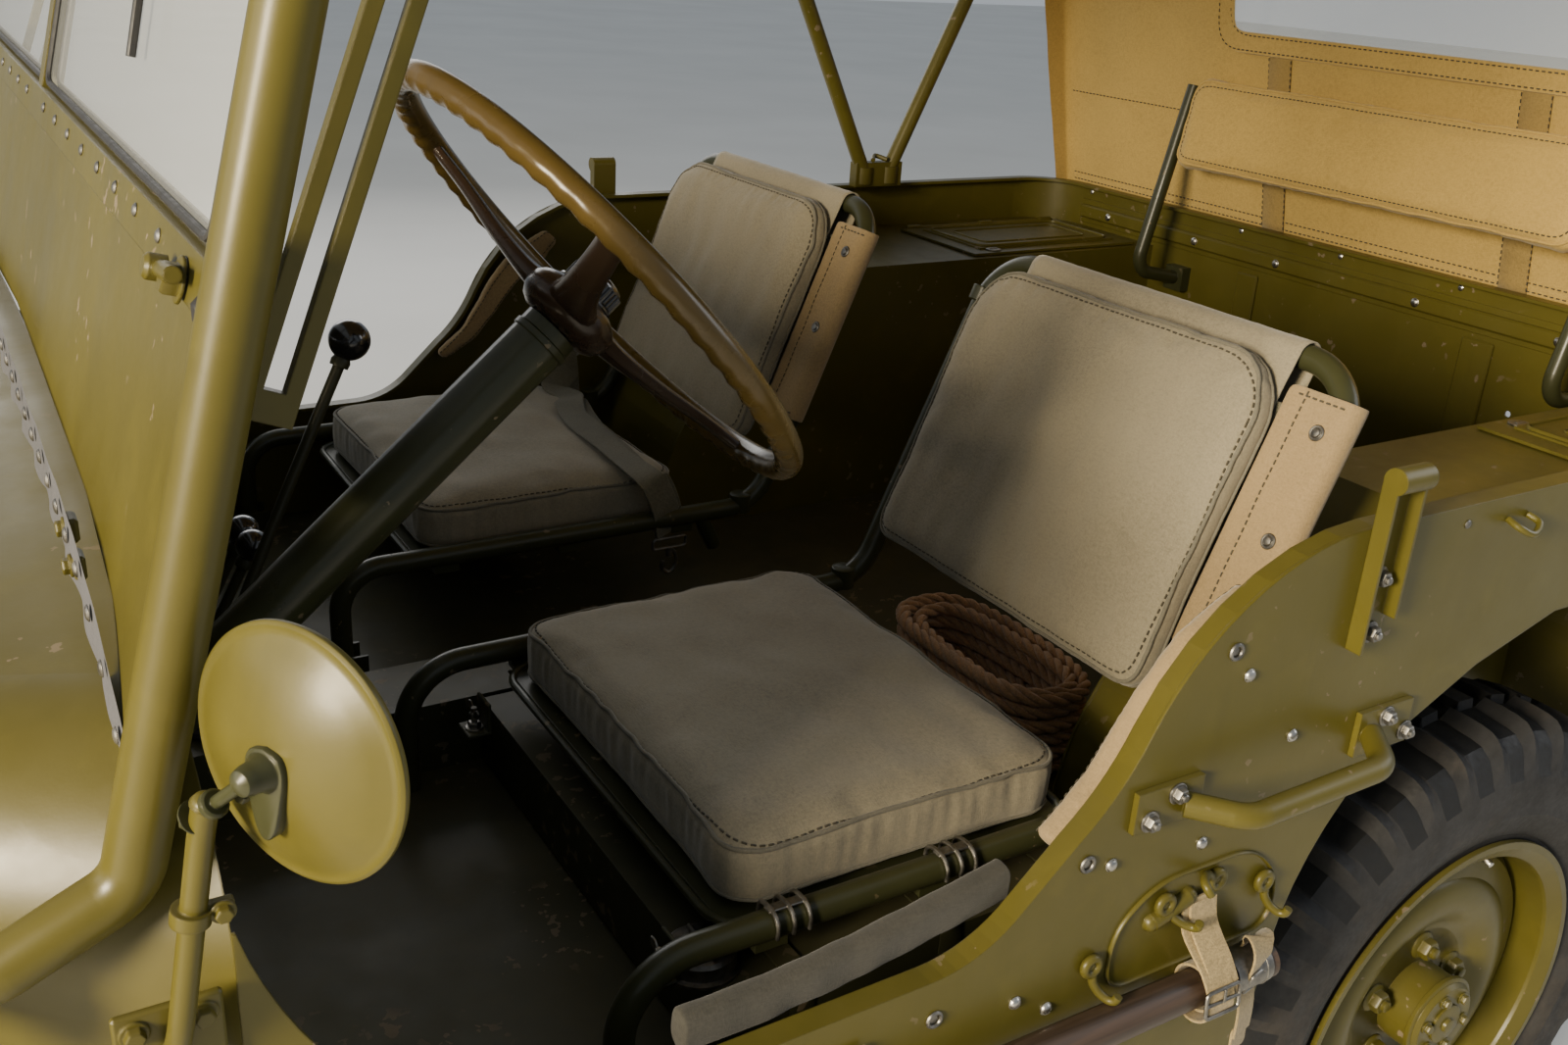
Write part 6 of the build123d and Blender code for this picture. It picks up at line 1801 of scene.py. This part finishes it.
# bracket and wing nut that hold the driver's seat down, and hold-down tabs of the tank
for y in (120, 545):
    g.add(rbox(880, 905, y - 16, y + 16, 640.5, 644.5, 1)).add(rbox(880, 884, y - 16, y + 16, 644, 676, 1))
    hw.add(tube([(893, y, 644), (893, y, 668)], 3.2, 10)).add(hexbolt((893, y, 644.4), (0, 0, 1), 12, 6))
    hw.add(lathe([(6, 0), (5, 6), (3, 8)], (893, y, 656), (0, 0, 1), 14))
    for e in (-1, 1):
        hw.add(prism([(0, 0), (13, 5), (14, 12), (7, 13), (0, 7)], (V(893, y + e * 3, 657), V(0, e, 0), V(0, 0, 1)), 2.2, 0.6, 1))
for x in (500, 640, 790):
    g.add(strap([(x, 60, 600), (x, 57.2, 641), (x, 330, 641.6), (x, 603, 641), (x, 603, 600)], 24, 2, V(1, 0, 0)))
make("tank_straps", g, "floor", CAR, 34)
make("wing_nuts", hw, "dull", CAR, 34)
cap = Geo().add(lathe([(34, 0), (34, 3), (30, 4), (30, 16), (27, 19), (0, 19.5)], (855, 545, 640), (0, 0, 1), 36)).add(rbox(853, 857, 522, 568, 659, 665, 1.5))
make("tank_cap", cap, "dull", CAR, 34)

# sill pad inside the left edge, behind the seat tube; its dark grey cloth is darkened further as painted shade
q = curve([V(960, 700, 735), V(900, 702, 738), V(830, 703, 746), V(760, 703, 757), V(712, 703, 766), V(684, 703, 772)], 8)
g = Geo().add(rings(q, [(-17, -9), (-9, -12.5), (9, -12.5), (17, -9), (19, 0), (17, 8), (9, 10), (-9, 10), (-17, 8), (-19, 0)], False, True, V(0, 0.2, 1)))
sp_ = make("sill_pad", g, "sill", CAR, 0)
md = sp_.modifiers.new("fine", "SUBSURF")
md.levels = md.render_levels = 2
bake(sp_)
P_ = read(sp_.data) * 1000 - OFF
P_[:, 1] += fuzz(P_, 30.0, 3.0) * 1.6
P_[:, 2] += fuzz(P_, 22.0, 8.0) * 1.2
write(sp_.data, (P_ + OFF) / 1000)
sp_.data.shade_smooth()

# ---------------------------------------------------------------- dashboard, gauges, switches
g, dk, fc, mk = Geo(), Geo(), Geo(), Geo()
dn = V(-1, 0, 0)
for y, z, r in ((40, 960, 38), (-34, 975, 26), (-34, 915, 26), (110, 975, 26), (110, 915, 26)):
    o = V(1235.5, y, z)
    g.add(lathe([(r + 4, 0), (r + 4.5, 2), (r + 3, 5.5), (r, 6.5), (r - 1.5, 4.5)], o, dn, 44))
    fc.add(lathe([(r - 1, 2.0), (r - 1.5, 3.0), (0.5, 3.2)], o, dn, 40))
    for k in range(9 if r < 30 else 13):
        a = radians(-135 + 270 * k / ((9 if r < 30 else 13) - 1))
        e = V(0, sin(a), cos(a))
        mk.add(tube([o + dn * 3.4 + e * (r * 0.72), o + dn * 3.4 + e * (r * 0.88)], 0.7, 6))
    a = radians(-60 + y)
    mk.add(tube([o + dn * 4.0, o + dn * 4.0 + V(0, sin(a), cos(a)) * r * 0.66], 0.8, 6))
for y, z in ((180, 955), (205, 920), (-90, 920), (-120, 955), (-150, 915), (215, 975)):
    o = V(1235.5, y, z)
    dk.add(lathe([(8, 0), (8, 3), (4, 4), (4, 16), (9, 18), (10, 24), (7, 27)], o, dn, 24))
for x0 in (-300,):
    g.add(rings([V(1235, -520, 990), V(1235, -520, 880), V(1235, -260, 880), V(1235, -260, 990)], circle(2.6, 8, 1.6), True, True, V(1, 0, 0)))
hand = tube(rounded([V(1232, -585, 930), V(1196, -585, 930), V(1196, -470, 930), V(1232, -470, 930)], 22, 5), 8, 14)
g.add(hand)
make("gauge_bezels", g, "olive", CAR, 34)
make("gauge_faces", fc, "dial", CAR, 34)
make("gauge_marks", mk, "white", CAR, 34)
make("dash_knobs", dk, "black", CAR, 34)

# ---------------------------------------------------------------- nose: lamps, guard, hood fittings, bumper
for s in (-1, 1):
    tag = "left" if s > 0 else "right"
    o = V(2234, s * 262, 835)
    xx = V(1, 0, 0)
    g = Geo().add(lathe([(60, -1), (68.4, -2), (70.5, 1), (70, 5), (66, 8), (61.5, 7), (60.5, 3)], o, xx, 60))
    for k in range(3):
        a = radians(90 + 120 * k)
        g.add(dome(o + V(7, 66 * cos(a), 66 * sin(a)), xx, 3.2, 2.0, 12))
    make("lamp_rim_" + tag, g, "olive", CAR, 34)
    make("lamp_bowl_" + tag, Geo().add(lathe([(60.5, 2.4), (58, 1.2), (40, -3), (14, -5), (5, -5.2), (0.5, -5.2)], o, xx, 56)).add(lathe([(7, -5), (7, 0), (5, 3.0), (0.5, 3.6)], o, xx, 24)), "chrome", CAR, 40)
    lens = Geo().add(lathe([(61, 3.0), (56, 6.6), (42, 10.4), (22, 12.4), (0.5, 12.9)], o, xx, 60))
    for k in range(-5, 6):
        h = sqrt(max(0, 54 ** 2 - (k * 10) ** 2))
        zc = [V(o.x + 13.0 - 9.0 * ((k * 10) ** 2 + q * q) / 3300, o.y + k * 10, o.z + q) for q in np.linspace(-h, h, 13)]
        lens.add(tube(zc, 0.9, 6))
    make("lamp_lens_" + tag, lens, "lens", CAR, 40)
    # small blackout lamp under it
    o = V(2223.4, s * 262, 735)
    g = Geo().add(lathe([(24, -2), (26, 0), (26, 13), (22, 16), (20, 15)], o, xx, 40))
    make("marker_rim_" + tag, g, "olive", CAR, 34)
    make("marker_lens_" + tag, lathe([(20, 13.5), (14, 17), (0.5, 18.5)], o, xx, 32), "lens", CAR, 40)
    # tail lamps on the rear panel
    o = V(-570.4, s * 560, 720)
    g = Geo().add(lathe([(30, -1), (34, 1), (34, 20), (31, 23), (28, 22)], o, -xx, 40))
    make("tail_lamp_rim_" + tag, g, "olive", CAR, 34)
    make("tail_lamp_lens_" + tag, lathe([(28, 20.5), (20, 24.5), (0.5, 26)], o, -xx, 36), "red", CAR, 40)
    o = V(-570.4, s * 640, 720)
    make("reflector_" + tag, Geo().add(lathe([(26, -0.5), (30, 1), (30, 4), (27, 6)], o, -xx, 36)).add(lathe([(26.5, 5), (18, 7.5), (0.5, 8.4)], o, -xx, 36)), "red", CAR, 40)
    # hood catches on the sides, rests on top, fender bolts
    g, hw = Geo(), Geo()
    yy = lambda x: 583 + (345 - 583) * (x - 1446) / 766
    zt = lambda x: 1021 + (968 - 1021) * (x - 1446) / 766
    for x in (1640, 2060):
        y = yy(x) + 1.5
        g.add(rbox(x - 13, x + 13, min(s * y, s * (y + 5)), max(s * y, s * (y + 5)), 820, 846, 1.5))
        g.add(tube([V(x, s * (y + 5), 838), V(x, s * (y + 9), 800), V(x - 6, s * (y + 12), 792)], 3.4, 10))
        hw.add(dome((x - 7, s * (y + 5), 833), (0, s, 0), 3.4, 2, 12)).add(dome((x + 7, s * (y + 5), 833), (0, s, 0), 3.4, 2, 12))
    for x in (1700, 1850, 2000, 2150, 2280):
        hw.add(hexbolt((x, s * 420, 800.4), (0, 0, 1), 11, 5))
        hw.add(dome((x, s * 700, 800.4), (0, 0, 1), 4.5, 2.2, 14))
    for y, z in ((180, 540), (180, 470), (345, 540), (345, 470)):
        hw.add(hexbolt((2562, s * y, z), (1, 0, 0), 18, 9, True, 3))
    for z in (482, 501):
        hw.add(hexbolt((-608, s * 495, z), (-1, 0, 0), 12, 5))
    for z in (590, 700, 780, 900, 945):
        hw.add(dome((2223.3, s * 334, z), (1, 0, 0), 4.6, 2.4, 14))
    make("nose_hardware_" + tag, hw, "dull", CAR, 34)
    make("hood_catches_" + tag, g, "olive", CAR, 34)

# hood: raised centre, edge roll, rest blocks, hinge
g, wd_ = Geo(), Geo()
HB = "bonnet"
for x0, x1, y in ((1500, 2160, 0),):
    for sg in (-1, 1):
        line = [V(x, sg * (150 - 40 * (x - x0) / (x1 - x0)), 1021.6 + (968 - 1021) * (x - 1446) / 766) for x in np.linspace(x0, x1, 14)]
        g.add(rings(line, circle(6, 10, 2.4), False, True, V(0, 1, 0)))
for sg in (-1, 1):
    x = 1652
    z = 1021 + (968 - 1021) * (x - 1446) / 766
    wd_.add(rbox(x - 30, x + 30, sg * 300 - 22, sg * 300 + 22, z - 1, z + 12, 3))
    g.add(dome((x, sg * 300, z + 12), (0, 0, 1), 5, 2.4, 14))
    g.add(tube(rounded([V(2178, sg * 80, 970), V(2178, sg * 80, 992), V(2178, sg * 150, 990), V(2178, sg * 150, 969)], 10, 4), 4, 10))
for y in range(-480, 481, 120):
    g.add(dome((1452, y, 1020.4 if abs(y) < 450 else 1014), (0, 0, 1), 3.6, 1.8, 12))
make("hood_details", g, "olive", HB, 34)
make("hood_blocks", wd_, "wood", HB, 34)

# rear: handles, spare carrier bolts, tow hook latch, rail rivets
g, hw = Geo(), Geo()
for s in (-1, 1):
    g.add(tube(rounded([V(-570, s * 500, 860), V(-604, s * 500, 860), V(-604, s * 390, 860), V(-570, s * 390, 860)], 18, 5), 8, 14))
    for y in (500, 390):
        g.add(lathe([(17, 0), (17, 3), (13, 5)], (-570.2, s * y, 860), (-1, 0, 0), 24))
for y in (-300 - 90, -300 + 90):
    for z in (725, 885):
        hw.add(hexbolt((-575.5, y, z), (-1, 0, 0), 14, 7))
for y in range(-660, 661, 110):
    if abs(y + 300) > 130:
        hw.add(dome((-570.3, y, 1000), (-1, 0, 0), 4.2, 2.0, 14))
hw.add(hexbolt((-600, 38, 568), (0, 0, 1), 12, 6))
make("rear_handles", g, "olive", CAR, 34)
make("rear_bolts", hw, "dull", CAR, 34)

# ---------------------------------------------------------------- body sides below the doors: seams, rivets and rope hooks
g = Geo()
for s in (-1, 1):
    y = s * 735.3
    for z0 in (600,):
        g.add(rings([V(1140, y, 590), V(430, y, 590)], circle(3.2, 8, 1.6), False, True, V(0, 0, 1)))
    for x in range(470, 1140, 90):
        g.add(dome((x, y, 575), (0, s, 0), 3.6, 1.8, 12))
    # rope hooks along the tub
    for x in (-430, -130, 180):
        g.add(tube(curve([V(x - 14, s * 736, 1000), V(x - 14, s * 748, 996), V(x, s * 753, 990), V(x + 14, s * 748, 996), V(x + 14, s * 736, 1000)], 5), 3.2, 10))
make("tub_side_details", g, "olive", CAR, 34)

bpy.context.view_layer.update()
